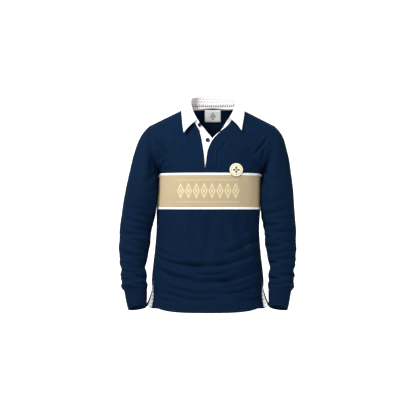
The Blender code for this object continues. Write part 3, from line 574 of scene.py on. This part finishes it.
RIGHT_SLEEVE_CREASES = sleeve_creases(
    (116, -114, 126, -222, 3, 5, 5.4), (98, -120, 114, -262, -3, 9, 3.8),
    (60, -160, 72, -272, 2, 12, 2.3), (176, -238, 178, -318, 0, 14, -3.4),
    (140, -222, 96, -258, 5, 7, 4.0), (142, -268, 104, -298, 5, 7, 4.0),
    (150, -328, 60, -322, 8, 7, 4.0), (120, -356, 22, -340, 6, 7, 3.5),
    (176, -380, 74, -366, 8, 7, 4.6), (150, -404, 34, -384, 8, 6.5, 4.3),
    (179, -424, 96, -420, 6, 6, 4.3), (128, -444, 14, -428, 8, 6.5, 4.1),
    (172, -464, 70, -456, 7, 6, 4.3), (104, -478, 10, -468, 6, 6, 3.5),
    (179, -494, 88, -486, 6, 5.5, 4.1), (146, -512, 26, -500, 8, 6, 4.1),
    (178, -530, 82, -524, 6, 6, 4.1), (108, -541, 4, -530, 6, 5.5, 3.5),
    (168, -556, 56, -548, 6, 5.5, 4.3), (128, -571, 8, -562, 5, 5.5, 4.3),
    (177, -584, 62, -578, 5, 5, 4.6), (118, -597, -2, -590, 5, 5, 4.3),
    (174, -609, 44, -603, 4, 4.5, 4.3), (116, -620, 8, -615, 3, 4, 3.5),
    (200, -352, 300, -340, 7, 8, 4.1), (192, -394, 286, -384, 8, 8, 4.3),
    (218, -426, 326, -416, 8, 7, 4.3), (188, -458, 280, -450, 7, 7, 4.1),
    (224, -490, 338, -480, 6, 6.5, 4.1), (190, -520, 298, -512, 6, 6, 4.1),
    (228, -548, 342, -540, 6, 6, 3.8), (188, -576, 294, -568, 5, 5.5, 4.3),
    (238, -598, 350, -590, 5, 5, 3.8), (192, -618, 304, -612, 4, 4.5, 3.5),
    (250, -134, 238, -246, 3, 10, 3.2), (290, -156, 274, -276, 2, 11, 2.3),
)
for place, table in (("front", FRONT_CREASES), ("back", BACK_CREASES), ("left sleeve", LEFT_SLEEVE_CREASES)):
    print("creases on the", place, len(table))

# %% [markdown]
# A peeled skin is turned back into four-sided faces and smoothed, and then its creases are pressed in
# along its normals. They fade out towards seams, where sewing holds the cloth flat. Last it gets a flat
# map for its knit and a wall of its own, a millimetre thick, on the inside.

# %% From skin to cloth
# z, how far the body's middle stands across at that height
LEAN = ((-0.720, -0.016), (-0.430, -0.016), (-0.215, -0.007), (0.0, 0.001), (0.060, 0.003))


def read_row(rows, key):
    """Every value of a table of rows at a key, on straight lines between them."""
    rows = sorted(rows)
    key = min(max(key, rows[0][0]), rows[-1][0])
    for low, high in zip(rows, rows[1:]):
        if key <= high[0]:
            share = (key - low[0]) / (high[0] - low[0])
            return [a + (b - a) * share for a, b in zip(low[1:], high[1:])]


def lean(z):
    return read_row(LEAN, z)[0]


# z, middle across, middle from front to back
SLEEVE_MIDDLE = (
    (-0.149, 0.198, 0.000), (-0.179, 0.2135, -0.006), (-0.2275, 0.222, -0.016), (-0.289, 0.230, -0.022),
    (-0.360, 0.240, -0.020), (-0.437, 0.2515, -0.020), (-0.500, 0.2555, -0.028), (-0.551, 0.258, -0.040),
    (-0.588, 0.2555, -0.049), (-0.617, 0.253, -0.056), (-0.637, 0.248, -0.062), (-0.700, 0.242, -0.072),
)


def sleeve_axis(side):
    def middle(point):
        across, ahead = read_row(SLEEVE_MIDDLE, point.z)
        return Vector((side * across + lean(point.z), ahead, point.z))
    return middle


def body_turn(facing):
    def turn(point):
        return math.atan2(point.x - lean(point.z), -facing * point.y) * 0.16
    return turn


def sleeve_turn(side):
    middle = sleeve_axis(side)

    def turn(point):
        off = point - middle(point)
        return math.atan2(-off.y, side * off.x) % (2 * math.pi)
    return turn

# %% [markdown]
# A modifier is applied as soon as it is made, so that the next step works on the real mesh.

# %% Smooth, press and map a skin
def apply(piece, kind, **settings):
    modifier = piece.modifiers.new(kind.lower(), kind)
    for name, value in settings.items():
        setattr(modifier, name, value)
    select_only(piece)
    bpy.ops.object.modifier_apply(modifier=modifier.name)


def subdivide(piece, levels):
    smoothing = {"boundary_smooth": "PRESERVE_CORNERS", "uv_smooth": "NONE"}
    apply(piece, "SUBSURF", levels=levels, render_levels=levels, **smoothing)


cloth, borders = {}, {}
FINE_NOISE, COARSE_NOISE = 75.0, 26.0


def press(piece, depth_at, held_at=None, fade=0.013, uneven=0.0005):
    """Move a skin in by its creases. held_at says which points of its border are sewn down."""
    mesh = piece.data
    form = bmesh.new()
    form.from_mesh(mesh)
    sewn = [v.co.copy() for v in form.verts if v.is_boundary and (held_at is None or held_at(v.co))]
    borders[piece.name] = [v.co.copy() for v in form.verts if v.is_boundary]
    form.free()
    tree = KDTree(max(len(sewn), 1))
    for number, place in enumerate(sewn):
        tree.insert(place, number)
    tree.balance()
    places = [vertex.co.copy() for vertex in mesh.vertices]
    normals = [vertex.normal.copy() for vertex in mesh.vertices]
    for vertex, place, normal in zip(mesh.vertices, places, normals):
        free = smooth(tree.find(place)[2] / fade) if sewn else 1.0
        if free <= 0:
            continue
        soft = (noise.noise(place * COARSE_NOISE) + noise.noise(place * FINE_NOISE) * 0.35) * uneven
        vertex.co = place - normal * (depth_at(place) + soft) * free
    mesh.update()


def flat_map(piece, turn, wrap=0.0, size=1.0):
    """Write the flat map: how far round in metres, and the height."""
    mesh = piece.data
    layer = mesh.uv_layers.new(name="cloth")
    found = [turn(vertex.co) for vertex in mesh.vertices]
    for face in mesh.polygons:
        first = found[face.vertices[0]]
        for corner, number in zip(face.loop_indices, face.vertices):
            value = found[number]
            if wrap and value - first > wrap / 2:
                value -= wrap
            elif wrap and first - value > wrap / 2:
                value += wrap
            layer.data[corner].uv = (value * size, mesh.vertices[number].co.z)


def wall(piece, thickness):
    apply(piece, "SOLIDIFY", thickness=thickness, offset=-1, use_even_offset=False, use_rim=True)


def enter(piece, slot, *nodes):
    """Let a piece ride on the body and stand for its nodes. Its slot is not used."""
    piece.data.shade_smooth()
    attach(piece, "root")
    if nodes:
        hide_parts(*nodes)


def dress(piece, look, slot, *nodes):
    """Give a piece its look and its place in the frame."""
    piece.data.materials.clear()
    piece.data.materials.append(LOOKS[look])
    enter(piece, slot, *nodes)
    return piece


def skin_of(node, name, axis, levels):
    """The outer skin of a measured piece, smoothed in four-sided faces."""
    piece = copy_of(node, name)
    peel(piece, axis)
    turn_to_quads(piece)
    subdivide(piece, levels)
    return piece


def make_cloth(piece, node, look, slot, thickness=0.0010):
    """Give a finished skin its wall and its look, in its node's place."""
    area = sum(face.area for face in piece.data.polygons)
    print(piece.name, "area", round(area, 4), "faces", len(piece.data.polygons))
    cloth[node] = piece
    wall(piece, thickness)
    dress(piece, look, slot, node)

# %% [markdown]
# The body is six panels: one back, and a front in five strips. They share one table of creases, so a
# fold runs straight through a seam.

# %% The body's panels
def body_depth(creases):
    def depth(point):
        across = point.x - lean(point.z)
        return sum(crease.at(across, point.z) for crease in creases)
    return depth


def sewn_down(point):
    return abs(point.x - lean(point.z)) > 0.160 or point.z > -0.225


BODY_PANELS = (
    # node, facing, look, levels
    ("front_upper", 1, "navy", 3),
    ("chest_stripe_top", 1, "white", 2),
    ("chest_band", 1, "tan", 3),
    ("chest_stripe_bottom", 1, "white", 2),
    ("front_lower", 1, "navy", 3),
    ("back", -1, "navy", 2),
)
for node, facing, look, levels in BODY_PANELS:
    panel = skin_of(node, node + "_cloth", body_axis, levels)
    press(panel, body_depth(FRONT_CREASES if facing > 0 else BACK_CREASES), sewn_down)
    flat_map(panel, body_turn(facing))
    make_cloth(panel, node, look, look + "_jersey")

# %% [markdown]
# The measured pieces stand a hair apart, so that none touches another. On the real shirt the sleeve is
# sewn on, so its top edge is drawn in until it almost meets the body, and the cloth near it follows.

# %% Sew an edge on
def draw_in(piece, panels, seam_of, reach=0.014, gap=0.00025, most=0.0045):
    """Pull the edge that seam_of picks towards the panels, up to a gap, and what is within reach with it."""
    body = surface_of(*(cloth[node] for node in panels))
    with reshaped(piece.data) as form:
        edge = [vertex for vertex in form.verts if vertex.is_boundary and seam_of(vertex.co)]
        tree, moves = KDTree(len(edge)), []
        for number, vertex in enumerate(edge):
            tree.insert(vertex.co, number)
            place, _, _, far = body.find_nearest(vertex.co)
            way = place - vertex.co
            moves.append(way * max(1 - gap / far, 0) if 0 < far < most else Vector())
        tree.balance()
        for vertex in form.verts:
            _, number, far = tree.find(vertex.co)
            vertex.co += moves[number] * smooth(1 - far / reach)
    piece.data.update()
    furthest = max(move.length for move in moves)
    print(piece.name, "drawn in at", len(moves), "points, by up to", round(furthest * 1000, 2), "mm")


def surface_of(*objects):
    """One search tree over the faces of several objects."""
    points, faces = [], []
    for piece in objects:
        first = len(points)
        points += [vertex.co.copy() for vertex in piece.data.vertices]
        faces += [[first + number for number in face.vertices] for face in piece.data.polygons]
    return BVHTree.FromPolygons(points, faces)

# %% [markdown]
# Each sleeve is one tube with its seam on the inner line. Its wrinkles gather from the elbow down,
# because the sleeve is cut long and the ribbed cuff stops it. No two are alike, and neither are the
# two sleeves.

# %% Sleeves and cuffs
def sleeve_depth(side, creases):
    turn = sleeve_turn(side)
    whole = 2 * math.pi * SLEEVE_ROUND

    def depth(point):
        across = turn(point) * SLEEVE_ROUND
        return sum(crease.at(place, point.z) for crease in creases for place in (across, across - whole))
    return depth


CUFF_ROUND, CUFF_MIDDLE_Z = 0.033, -0.66
for word, side, creases in (("left", 1, LEFT_SLEEVE_CREASES), ("right", -1, RIGHT_SLEEVE_CREASES)):
    node = "sleeve_" + word
    sleeve = skin_of(node, node + "_cloth", sleeve_axis(side), 2)
    press(sleeve, sleeve_depth(side, creases), None, 0.009, 0.0007)
    draw_in(sleeve, ("front_upper", "back", "chest_stripe_top", "chest_band"), lambda point: point.z > -0.5)
    flat_map(sleeve, sleeve_turn(side), 2 * math.pi, SLEEVE_ROUND)
    make_cloth(sleeve, node, "navy", "navy_jersey")

    node = "cuff_" + word
    cuff = skin_of(node, node + "_rib", sleeve_axis(side), 2)
    press(cuff, lambda point: 0.0, lambda point: point.z > CUFF_MIDDLE_Z, 0.010, 0.0007)
    flat_map(cuff, sleeve_turn(side), 2 * math.pi, CUFF_ROUND)
    make_cloth(cuff, node, "rib", "navy_rib", 0.0016)

# %% [markdown]
# The collar, tapes, label and plackets are woven and thin, and both their faces show, so they keep
# their whole slab. Their cut edges are marked as sharp before smoothing, so they don't shrink. What
# lies on a panel is then settled by as much as the panel itself moved when it became cloth.

# %% Collar and trims
SLAB_EDGE = math.radians(50)


def mark_edges(piece):
    """Hold the cut edges of a slab in place for a subdivision."""
    with reshaped(piece.data) as form:
        layer = form.edges.layers.float.get("crease_edge") or form.edges.layers.float.new("crease_edge")
        for edge in form.edges:
            if len(edge.link_faces) == 2 and edge.calc_face_angle(0) > SLAB_EDGE:
                edge[layer] = 1.0


def shift_of(nodes):
    """A function that says how far the panels under a place moved when they became cloth."""
    before = surface_of(*(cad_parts[node] for node in nodes))
    after = surface_of(*(cloth[node] for node in nodes))

    def shift(place):
        old, normal, _, _ = before.find_nearest(place)
        return normal * (after.find_nearest(old)[0] - old).dot(normal)
    return shift


def settle(piece, nodes, rounds):
    """Move each point along with the panels under it, evened out between neighbours for some rounds."""
    mesh, shift = piece.data, shift_of(nodes)
    shifts = [shift(vertex.co) for vertex in mesh.vertices]
    near = [[] for _ in shifts]
    for edge in mesh.edges:
        first, second = edge.vertices
        near[first].append(second)
        near[second].append(first)
    for _ in range(rounds):
        shifts = [(own + sum((shifts[other] for other in others), Vector())) / (1 + len(others))
                  for own, others in zip(shifts, near)]
    for vertex, moved in zip(mesh.vertices, shifts):
        vertex.co += moved
    mesh.update()


def slab(node, look, slot, levels, turn, rests=(), rounds=0):
    """A piece of which both faces show, with its whole slab."""
    piece = copy_of(node, node + "_cloth")
    turn_to_quads(piece)
    mark_edges(piece)
    subdivide(piece, levels)
    if rests:
        settle(piece, rests, rounds)
    flat_map(piece, turn)
    print(piece.name, "faces", len(piece.data.polygons))
    cloth[node] = piece
    return dress(piece, look, slot, node)


def neck_turn(point):
    return math.atan2(point.x, point.y + 0.02) * 0.09


collar = slab("collar", "drill", "white_drill", 3, neck_turn)
slab("under_placket", "placket", "white_drill", 3, body_turn(1), ("front_upper",), 24)
slab("placket_facing", "placket", "white_tape", 2, body_turn(1), ("front_upper",))
slab("neck_tape", "tape", "white_tape", 2, neck_turn)
label = slab("neck_label", "placket", "white_tape", 2, body_turn(-1), ("back",))


def tape_line(node):
    """How far across a tape a point is from the tape's own middle line."""
    strips = {}
    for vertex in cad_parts[node].data.vertices:
        strips.setdefault(round(vertex.co.z / 0.008) * 0.008, []).append(vertex.co.x)
    rows = [(z, (min(found) + max(found)) / 2) for z, found in strips.items()]
    return lambda point: point.x - read_row(rows, point.z)[0]


for word in ("left", "right"):
    node = "vent_tape_" + word
    slab(node, "vent", "white_tape", 2, tape_line(node), ("back",))

# %% [markdown]
# The neck label, the chest patch and the inside of the collar have plain motifs of their own: a
# lozenge on the label, a four-petalled rosette on the patch, and small leaves inside the collar.

# %% Looks for the label, patch and collar lining
def middle_of(node):
    low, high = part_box(node)
    return (Vector(low) + Vector(high)) / 2


def label_print(shader, base):
    x, _, z = shader.place()
    centre = middle_of("neck_label")
    far = abs(x - centre.x) / 0.0100 + abs(z - centre.z) / 0.0135
    outline = (far < 1.0) * (far > 0.74)
    heart = far < 0.36
    return shader.blend(outline.most(heart), base, (0.03, 0.035, 0.05))


def patch_print(shader, base):
    x, _, z = shader.place()
    centre = middle_of("chest_patch")
    across, up = (x - centre.x) / 0.0245, (z - centre.z) / 0.0245
    square = across * across + up * up
    far = square.work("SQRT", square)
    turn = up.work("ARCTAN2", up, across) * 2.0
    petals = abs(turn.work("COSINE", turn)) * 0.50
    ring = (far > 0.66) * (far < 0.71)
    flower = (far < petals) * (far > 0.09)
    edge = far > 0.92
    return shader.blend(ring.most(flower).most(edge), base, (0.012, 0.030, 0.085))


def leaf_print(shader, base):
    row_height, column_width, slant = 0.0095, 0.0125, 0.005
    across, z = shader.flat_place()[0], shader.place()[2]
    row = (z / row_height).beyond(1.0)
    column = ((across + (z / row_height) * slant) / column_width).beyond(1.0)
    sideways, upwards = (column - 0.40) * 3.0, (row - 0.5) * 2.6
    tilted = sideways * 0.8 + upwards * 0.6
    crossed = (upwards * 0.8 - sideways * 0.6) * 2.2
    leaf = (tilted * tilted + crossed * crossed) < 1.0
    aside, above = column - 0.88, row - 0.25
    bud = (aside * aside * 80.0 + above * above * 50.0) < 1.0
    tone = shader.noise(60.0, 2.0)
    ink = shader.blend(tone * 1.4 - 0.2, (0.42, 0.24, 0.19), (0.36, 0.33, 0.42))
    return shader.blend(leaf.most(bud), base, ink)


LOOKS["label"] = woven("white_label_cloth", (0.97, 0.97, 0.97), (0.93, 0.93, 0.93), 0.0006, 0.55, label_print)
LOOKS["patch"] = woven("cream_patch_twill", (0.83, 0.74, 0.52), (0.76, 0.66, 0.43), 0.0010, 0.62, patch_print)

# %% [markdown]
# The patch lies on three pieces of cloth at once. Each of its points is found by looking at the chest
# straight from the front, so it follows them without touching.

# %% The chest patch
def ahead_of(points, surface, start=-0.3):
    """Places on a surface seen straight from the front at each x and z, over the seam gaps too."""
    found = []
    for x, z in points:
        place, normal, _, _ = surface.ray_cast(Vector((x, start, z)), Vector((0, 1, 0)))
        if place is None or (found and abs(place.y - found[-1][0].y) > 0.02):
            beside = surface.find_nearest(Vector((x, found[-1][0].y if found else 0.0, z)))
            place, normal = Vector((x, beside[0].y, z)), beside[1]
        found.append((place, normal if normal.y < 0 else -normal))
    return found


def make_patch(name, radius=0.0243, rings=10, spokes=72):
    """A round patch laid on the chest's own surface, domed a little by its stitches."""
    centre = middle_of("chest_patch")
    chest = surface_of(cloth["front_upper"], cloth["chest_stripe_top"], cloth["chest_band"])
    form = bmesh.new()
    middle, ahead = ahead_of([(centre.x, centre.z)], chest)[0]
    hub = form.verts.new(middle + ahead * 0.0012)
    rows, turns = [], [math.radians(360 * k / spokes) for k in range(spokes)]
    for ring in range(1, rings + 1):
        far = radius * ring / rings
        spots = [(centre.x + far * math.cos(turn), centre.z + far * math.sin(turn)) for turn in turns]
        lift = 0.0012 - 0.0005 * (ring / rings) ** 4
        rows.append([form.verts.new(place + ahead * lift) for place, _ in ahead_of(spots, chest)])
    for k in range(spokes):
        form.faces.new((hub, rows[0][(k + 1) % spokes], rows[0][k]))
    for low, high in zip(rows, rows[1:]):
        for k in range(spokes):
            form.faces.new((low[k], low[(k + 1) % spokes], high[(k + 1) % spokes], high[k]))
    bmesh.ops.recalc_face_normals(form, faces=form.faces)
    if sum(face.normal.y for face in form.faces) > 0:
        bmesh.ops.reverse_faces(form, faces=form.faces)
    piece = new_object(name, form)
    flat_map(piece, lambda point: point.x)
    wall(piece, 0.0007)
    cloth["chest_patch"] = piece
    dress(piece, "patch", "cream_patch", "chest_patch")
    print(name, "faces", len(piece.data.polygons))


make_patch("chest_patch_cloth")
LOOKS["lining"] = woven("white_collar_lining", (0.74, 0.73, 0.725), (0.68, 0.67, 0.67), pattern=leaf_print)
label.data.materials[0] = LOOKS["label"]
collar.data.materials.append(LOOKS["lining"])
lined = 0
for face in collar.data.polygons:
    out = Vector((face.center.x, face.center.y + 0.005, 0)).normalized()
    if face.normal.dot(out) < -0.25 and face.center.z > 0.010 and face.center.y > 0.0:
        face.material_index = 1
        lined += 1
print("collar faces with the inner print:", lined)

# %% [markdown]
# Thread catches less light than cloth where it is dark, and a little more where it is white.

# %% Thread
def yarn(name, colour, roughness=0.6):
    """Sewing thread or a satin-stitched edge."""
    shader = Shader(name)
    tone = shader.noise(700.0, 2.0)
    shade = shader.blend(tone, colour, [c * 0.7 for c in colour])
    normal = shader.bump(tone, 0.0001)
    return shader.finish(shade, tone * 0.15 + roughness, normal, sheen_weight=0.0, specular_ior_level=0.1)


LOOKS["navy_thread"] = yarn("navy_thread", (0.0012, 0.0050, 0.0150), 0.8)
LOOKS["edge_thread"] = yarn("navy_edge_thread", (0.010, 0.024, 0.066), 0.65)
LOOKS["dark_thread"] = yarn("dark_thread", (0.002, 0.006, 0.018), 0.8)
LOOKS["white_thread"] = yarn("white_thread", (0.78, 0.78, 0.78))
LOOKS["grey_thread"] = yarn("grey_thread", (0.30, 0.33, 0.42))

# %% [markdown]
# Every seam that shows is topstitched. A stitch is a grain of thread about two and a half millimetres
# long that dips into the cloth at both ends, so each row is laid along a path on the finished cloth.

# %% Stitching
def along_path(points, step):
    """Places at even steps along a path of points."""
    found, left = [points[0].copy()], step
    for start, end in zip(points, points[1:]):
        length = (end - start).length
        done = left
        while done <= length and length > 0:
            found.append(start.lerp(end, done / length))
            done += step
        left = done - length
    return found


class Stitching:
    """One piece of geometry that holds many stitches of the same thread."""

    def __init__(self):
        self.form = bmesh.new()

    def grain(self, start, end, up, width, height):
        run = end - start
        side = run.cross(up).normalized() * width / 2
        rings = []
        for middle in (start + run * 0.22, start + run * 0.78):
            ways = side, up * height, -side, -up * height * 0.6
            rings.append([self.form.verts.new(middle + way) for way in ways])
        tips = [self.form.verts.new(tip - up * height * 0.5) for tip in (start, end)]
        for number in range(4):
            after = (number + 1) % 4
            self.form.faces.new((rings[0][number], rings[0][after], rings[1][after], rings[1][number]))
            self.form.faces.new((tips[0], rings[0][after], rings[0][number]))
            self.form.faces.new((tips[1], rings[1][number], rings[1][after]))

    def row(self, points, surface, length=0.0026, gap=0.0009, width=0.00055, height=0.00022):
        """A row of stitches end to end along a path."""
        places = along_path(points, length + gap)
        for start, end in zip(places, places[1:]):
            stop = start + (end - start) * (length / (length + gap))
            a, up, _, _ = surface.find_nearest(start)
            b, _, _, _ = surface.find_nearest(stop)
            if a is not None and b is not None and (b - a).length > length * 0.4:
                self.grain(a + up * 0.0001, b + up * 0.0001, up, width, height)

    def rungs(self, points, surface, reach=0.0011, step=0.00055, width=0.0005, height=0.0003):
        """Short stitches side by side across a path, as at a buttonhole or an overlocked edge."""
        places = along_path(points, step)
        for before, here, after in zip(places, places[1:], places[2:]):
            base, up, _, _ = surface.find_nearest(here)
            side = (after - before).cross(up).normalized() * reach
            self.grain(base - side + up * 0.00015, base + side + up * 0.00015, up, width, height)

    def finish(self, name, look, slot):
        bmesh.ops.recalc_face_normals(self.form, faces=self.form.faces)
        piece = new_object(name, self.form)
        print(name, "faces", len(piece.data.polygons))
        dress(piece, look, slot)


def hem_path(node, ahead, rise=0.025):
    """A path a little above a panel's lowest edge."""
    lowest = {}
    for vertex in cloth[node].data.vertices:
        slice_of_cloth = round(vertex.co.x / 0.006)
        if slice_of_cloth not in lowest or vertex.co.z < lowest[slice_of_cloth].z:
            lowest[slice_of_cloth] = vertex.co.copy()
    edge = [place for _, place in sorted(lowest.items()) if place.z < -0.66]
    return [place + Vector((0, ahead, rise)) for place in edge]

# %% [markdown]
# Two rows run along each hem and one round the end of each sleeve. The others hold the placket, the
# vent tapes, the label and the patch. Each thread's rows are one piece, which is why the rows are
# collected first.

# %% Rows on the navy cloth
navy_rows, white_rows, dark_rows = Stitching(), Stitching(), Stitching()
front_low_face, back_face = surface_of(cloth["front_lower"]), surface_of(cloth["back"])
front_face = surface_of(cloth["front_upper"])
for rise in (0.024, 0.0275):
    navy_rows.row(hem_path("front_lower", -0.02, rise), front_low_face)
    navy_rows.row(hem_path("back", 0.02, rise), back_face)
for word, side in (("left", 1), ("right", -1)):
    turn = sleeve_turn(side)
    ring = sorted((p for p in borders["sleeve_%s_cloth" % word] if p.z < -0.60), key=turn)
    middle = sleeve_axis(side)
    raised = [p + Vector((0, 0, 0.0045)) + (p - middle(p)).normalized() * 0.004 for p in ring + ring[:1]]
    navy_rows.row(raised, surface_of(cloth["sleeve_" + word]))


def on_front(*corners):
    """A path on the chest through corners given as across and z, seen straight from the front."""
    flat = [Vector((across + lean(z), -0.3, z)) for across, z in corners]
    found = [front_face.ray_cast(place, Vector((0, 1, 0)))[0] for place in along_path(flat, 0.002)]
    return [place + Vector((0, -0.0005, 0)) for place in found if place is not None]


PLACKET_LINES = (
    # across and z of each corner of one row
    ((0.0205, -0.124), (0.0208, -0.170), (0.0205, -0.2205), (-0.0160, -0.2205)),
    ((0.0180, -0.2185), (-0.0070, -0.2185), (-0.0075, -0.166), (0.0180, -0.166)),
)
for line in PLACKET_LINES:
    navy_rows.row(on_front(*line), front_face, width=0.0010, height=0.0004)
dark_rows.rungs(on_front((-0.0035, -0.1860), (0.0075, -0.1750)), front_face, reach=0.0016)
for word in ("left", "right"):
    tape = cloth["vent_tape_" + word]
    strips = {}
    for vertex in tape.data.vertices:
        strips.setdefault(round(vertex.co.z / 0.004), []).append(vertex.co.copy())
    rows = [sorted(points, key=lambda p: p.x) for _, points in sorted(strips.items()) if len(points) > 1]
    for first, last in ((0, -1), (-1, 0)):
        edge = [row[first].lerp(row[last], 0.16) + Vector((0, -0.004, 0)) for row in rows]
        white_rows.row(edge, surface_of(tape), 0.0022, 0.0009, 0.0004, 0.00018)
label_low, label_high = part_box("neck_label")
inset = 0.0025
left, right = label_low[0] + inset, label_high[0] - inset
foot, head = label_low[2] + inset, label_high[2] - inset
corners = (left, head), (right, head), (right, foot), (left, foot), (left, head)
label_face = surface_of(cloth["neck_label"])
label_path = [(p.x, p.z) for p in along_path([Vector((x, 0, z)) for x, z in corners], 0.002)]
grey_rows = Stitching()
label_row = [place for place, _ in ahead_of(label_path, label_face, 0.03)]
grey_rows.row(label_row, label_face, 0.0018, 0.0008, 0.00045, 0.00018)
patch_middle, patch_face = middle_of("chest_patch"), surface_of(cloth["chest_patch"])
patch_path, rim = [], 0.0234
for turn in (math.radians(3 * k) for k in range(122)):
    patch_path.append((patch_middle.x + rim * math.cos(turn), patch_middle.z + rim * math.sin(turn)))
patch_ring = [place for place, _ in ahead_of(patch_path, patch_face)]
edge_rows = Stitching()
edge_rows.rungs(patch_ring, patch_face, step=0.00062, width=0.0006, height=0.0005)

# %% [markdown]
# The collar's row runs a presser foot's width inside the leaf's edge. Each thread's rows then become
# one piece.

# %% Rows on the collar
# round, fold x y z, edge x y z of a collar leaf, from the middle of the back to its point
LEAF = (
    (0.00, (0.0000, 0.063, 0.044), (0.000, 0.090, -0.012)),
    (0.20, (0.0420, 0.056, 0.042), (0.052, 0.079, -0.014)),
    (0.38, (0.0700, 0.036, 0.035), (0.088, 0.050, -0.014)),
    (0.52, (0.0790, 0.008, 0.024), (0.103, 0.014, -0.014)),
    (0.66, (0.0760, -0.022, 0.000), (0.104, -0.028, -0.032)),
    (0.80, (0.0660, -0.046, -0.027), (0.102, -0.062, -0.062)),
    (0.92, (0.0520, -0.061, -0.050), (0.096, -0.084, -0.095)),
)
collar_face = surface_of(cloth["collar"])
for side in (-1, 1):
    path = []
    for _, fold, edge in LEAF:
        fold, edge = Vector(fold), Vector(edge)
        path.append(edge + (fold - edge).normalized() * 0.0075 + Vector((edge.x * 0.03, edge.y * 0.03, 0)))
    path[-1] += Vector((-0.007, 0.003, 0.003))
    leaf_path = [Vector((side * p.x + 0.003, p.y, p.z)) for p in path]
    white_rows.row(leaf_path, collar_face, 0.0024, 0.0009, 0.00045, 0.0002)
STAND_SLIT = [Vector((0.0405, -0.09, -0.0775)), Vector((0.0465, -0.09, -0.0695))]
grey_rows.rungs(STAND_SLIT, collar_face, reach=0.0012)
edge_rows.finish("patch_edge", "edge_thread", "cream_patch")
navy_rows.finish("navy_stitching", "navy_thread", "navy_jersey")
dark_rows.finish("placket_buttonhole", "dark_thread", "navy_jersey")
white_rows.finish("white_stitching", "white_thread", "white_tape")
grey_rows.finish("grey_stitching", "grey_thread", "white_tape")

# %% [markdown]
# The buttons are rubbery, with a raised rim and four holes. A button is made as on a lathe: a short
# cylinder, its top inset and sunk, its edges rounded, then the holes and the crossed thread.

# %% Buttons
def button_look():
    shader = Shader("navy_rubber")
    tone = shader.noise(300.0, 2.0)
    shade = shader.blend(tone, (0.002, 0.006, 0.018), (0.004, 0.010, 0.028))
    normal = shader.bump(tone, 0.00006)
    return shader.finish(shade, tone * 0.15 + 0.45, normal, specular_ior_level=0.22)


LOOKS["button"] = button_look()


def make_button(node, name):
    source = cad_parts[node].data
    centre = middle_of(node)
    fronts = [face for face in source.polygons if face.normal.y < -0.4]
    ahead = sum((face.normal * face.area for face in fronts), Vector()).normalized()
    bpy.ops.object.select_all(action="DESELECT")
    bpy.ops.mesh.primitive_cylinder_add(vertices=40, radius=0.0074, depth=0.0026)
    button = bpy.context.object
    button.name = name
    bpy.ops.object.mode_set(mode="EDIT")
    bpy.ops.mesh.select_all(action="SELECT")
    bpy.ops.mesh.bevel(offset=0.0005, segments=3, affect="EDGES")
    bpy.ops.object.mode_set(mode="OBJECT")
    for face in button.data.polygons:
        face.select = face.normal.z > 0.99 and len(face.vertices) > 8
    bpy.ops.object.mode_set(mode="EDIT")
    bpy.ops.mesh.select_mode(type="FACE")
    bpy.ops.mesh.inset(thickness=0.0012, depth=0)
    bpy.ops.mesh.inset(thickness=0.0006, depth=-0.0007)
    bpy.ops.object.mode_set(mode="OBJECT")
    button.data.materials.append(LOOKS["button"])
    parts = [button]
    for number in range(4):
        turn = math.radians(45 + 90 * number)
        spot = (0.0021 * math.cos(turn), 0.0021 * math.sin(turn), 0.00055)
        bpy.ops.mesh.primitive_cylinder_add(vertices=12, radius=0.00085, depth=0.0004, location=spot)
        hole = bpy.context.object
        hole.data.materials.append(LOOKS["dark_thread"])
        parts.append(hole)
    for turn in (45, 135):
        turned = (0, 0, math.radians(turn))
        bpy.ops.mesh.primitive_uv_sphere_add(
            segments=10, ring_count=6, radius=0.0005, location=(0, 0, 0.0009), rotation=turned,
        )
        thread = bpy.context.object
        thread.scale = (5.2, 1.0, 0.9)
        thread.data.materials.append(LOOKS["navy_thread"])
        parts.append(thread)
    select_only(button)
    for part in parts:
        part.select_set(True)
    bpy.ops.object.transform_apply(location=True, rotation=True, scale=True)
    bpy.ops.object.join()
    turned = ahead.to_track_quat("Z", "Y").to_matrix().to_4x4()
    turned.translation = centre
    button.data.transform(turned)
    points = button.data.vertices
    moved = shift_of(("under_placket",))(sum((point.co for point in points), Vector()) / len(points))
    for point in points:
        point.co += moved
    button.data.update()
    print(name, "faces", len(button.data.polygons))
    enter(button, "navy_button", node)


for node in ("button_top", "button_middle"):
    make_button(node, node + "_rubber")
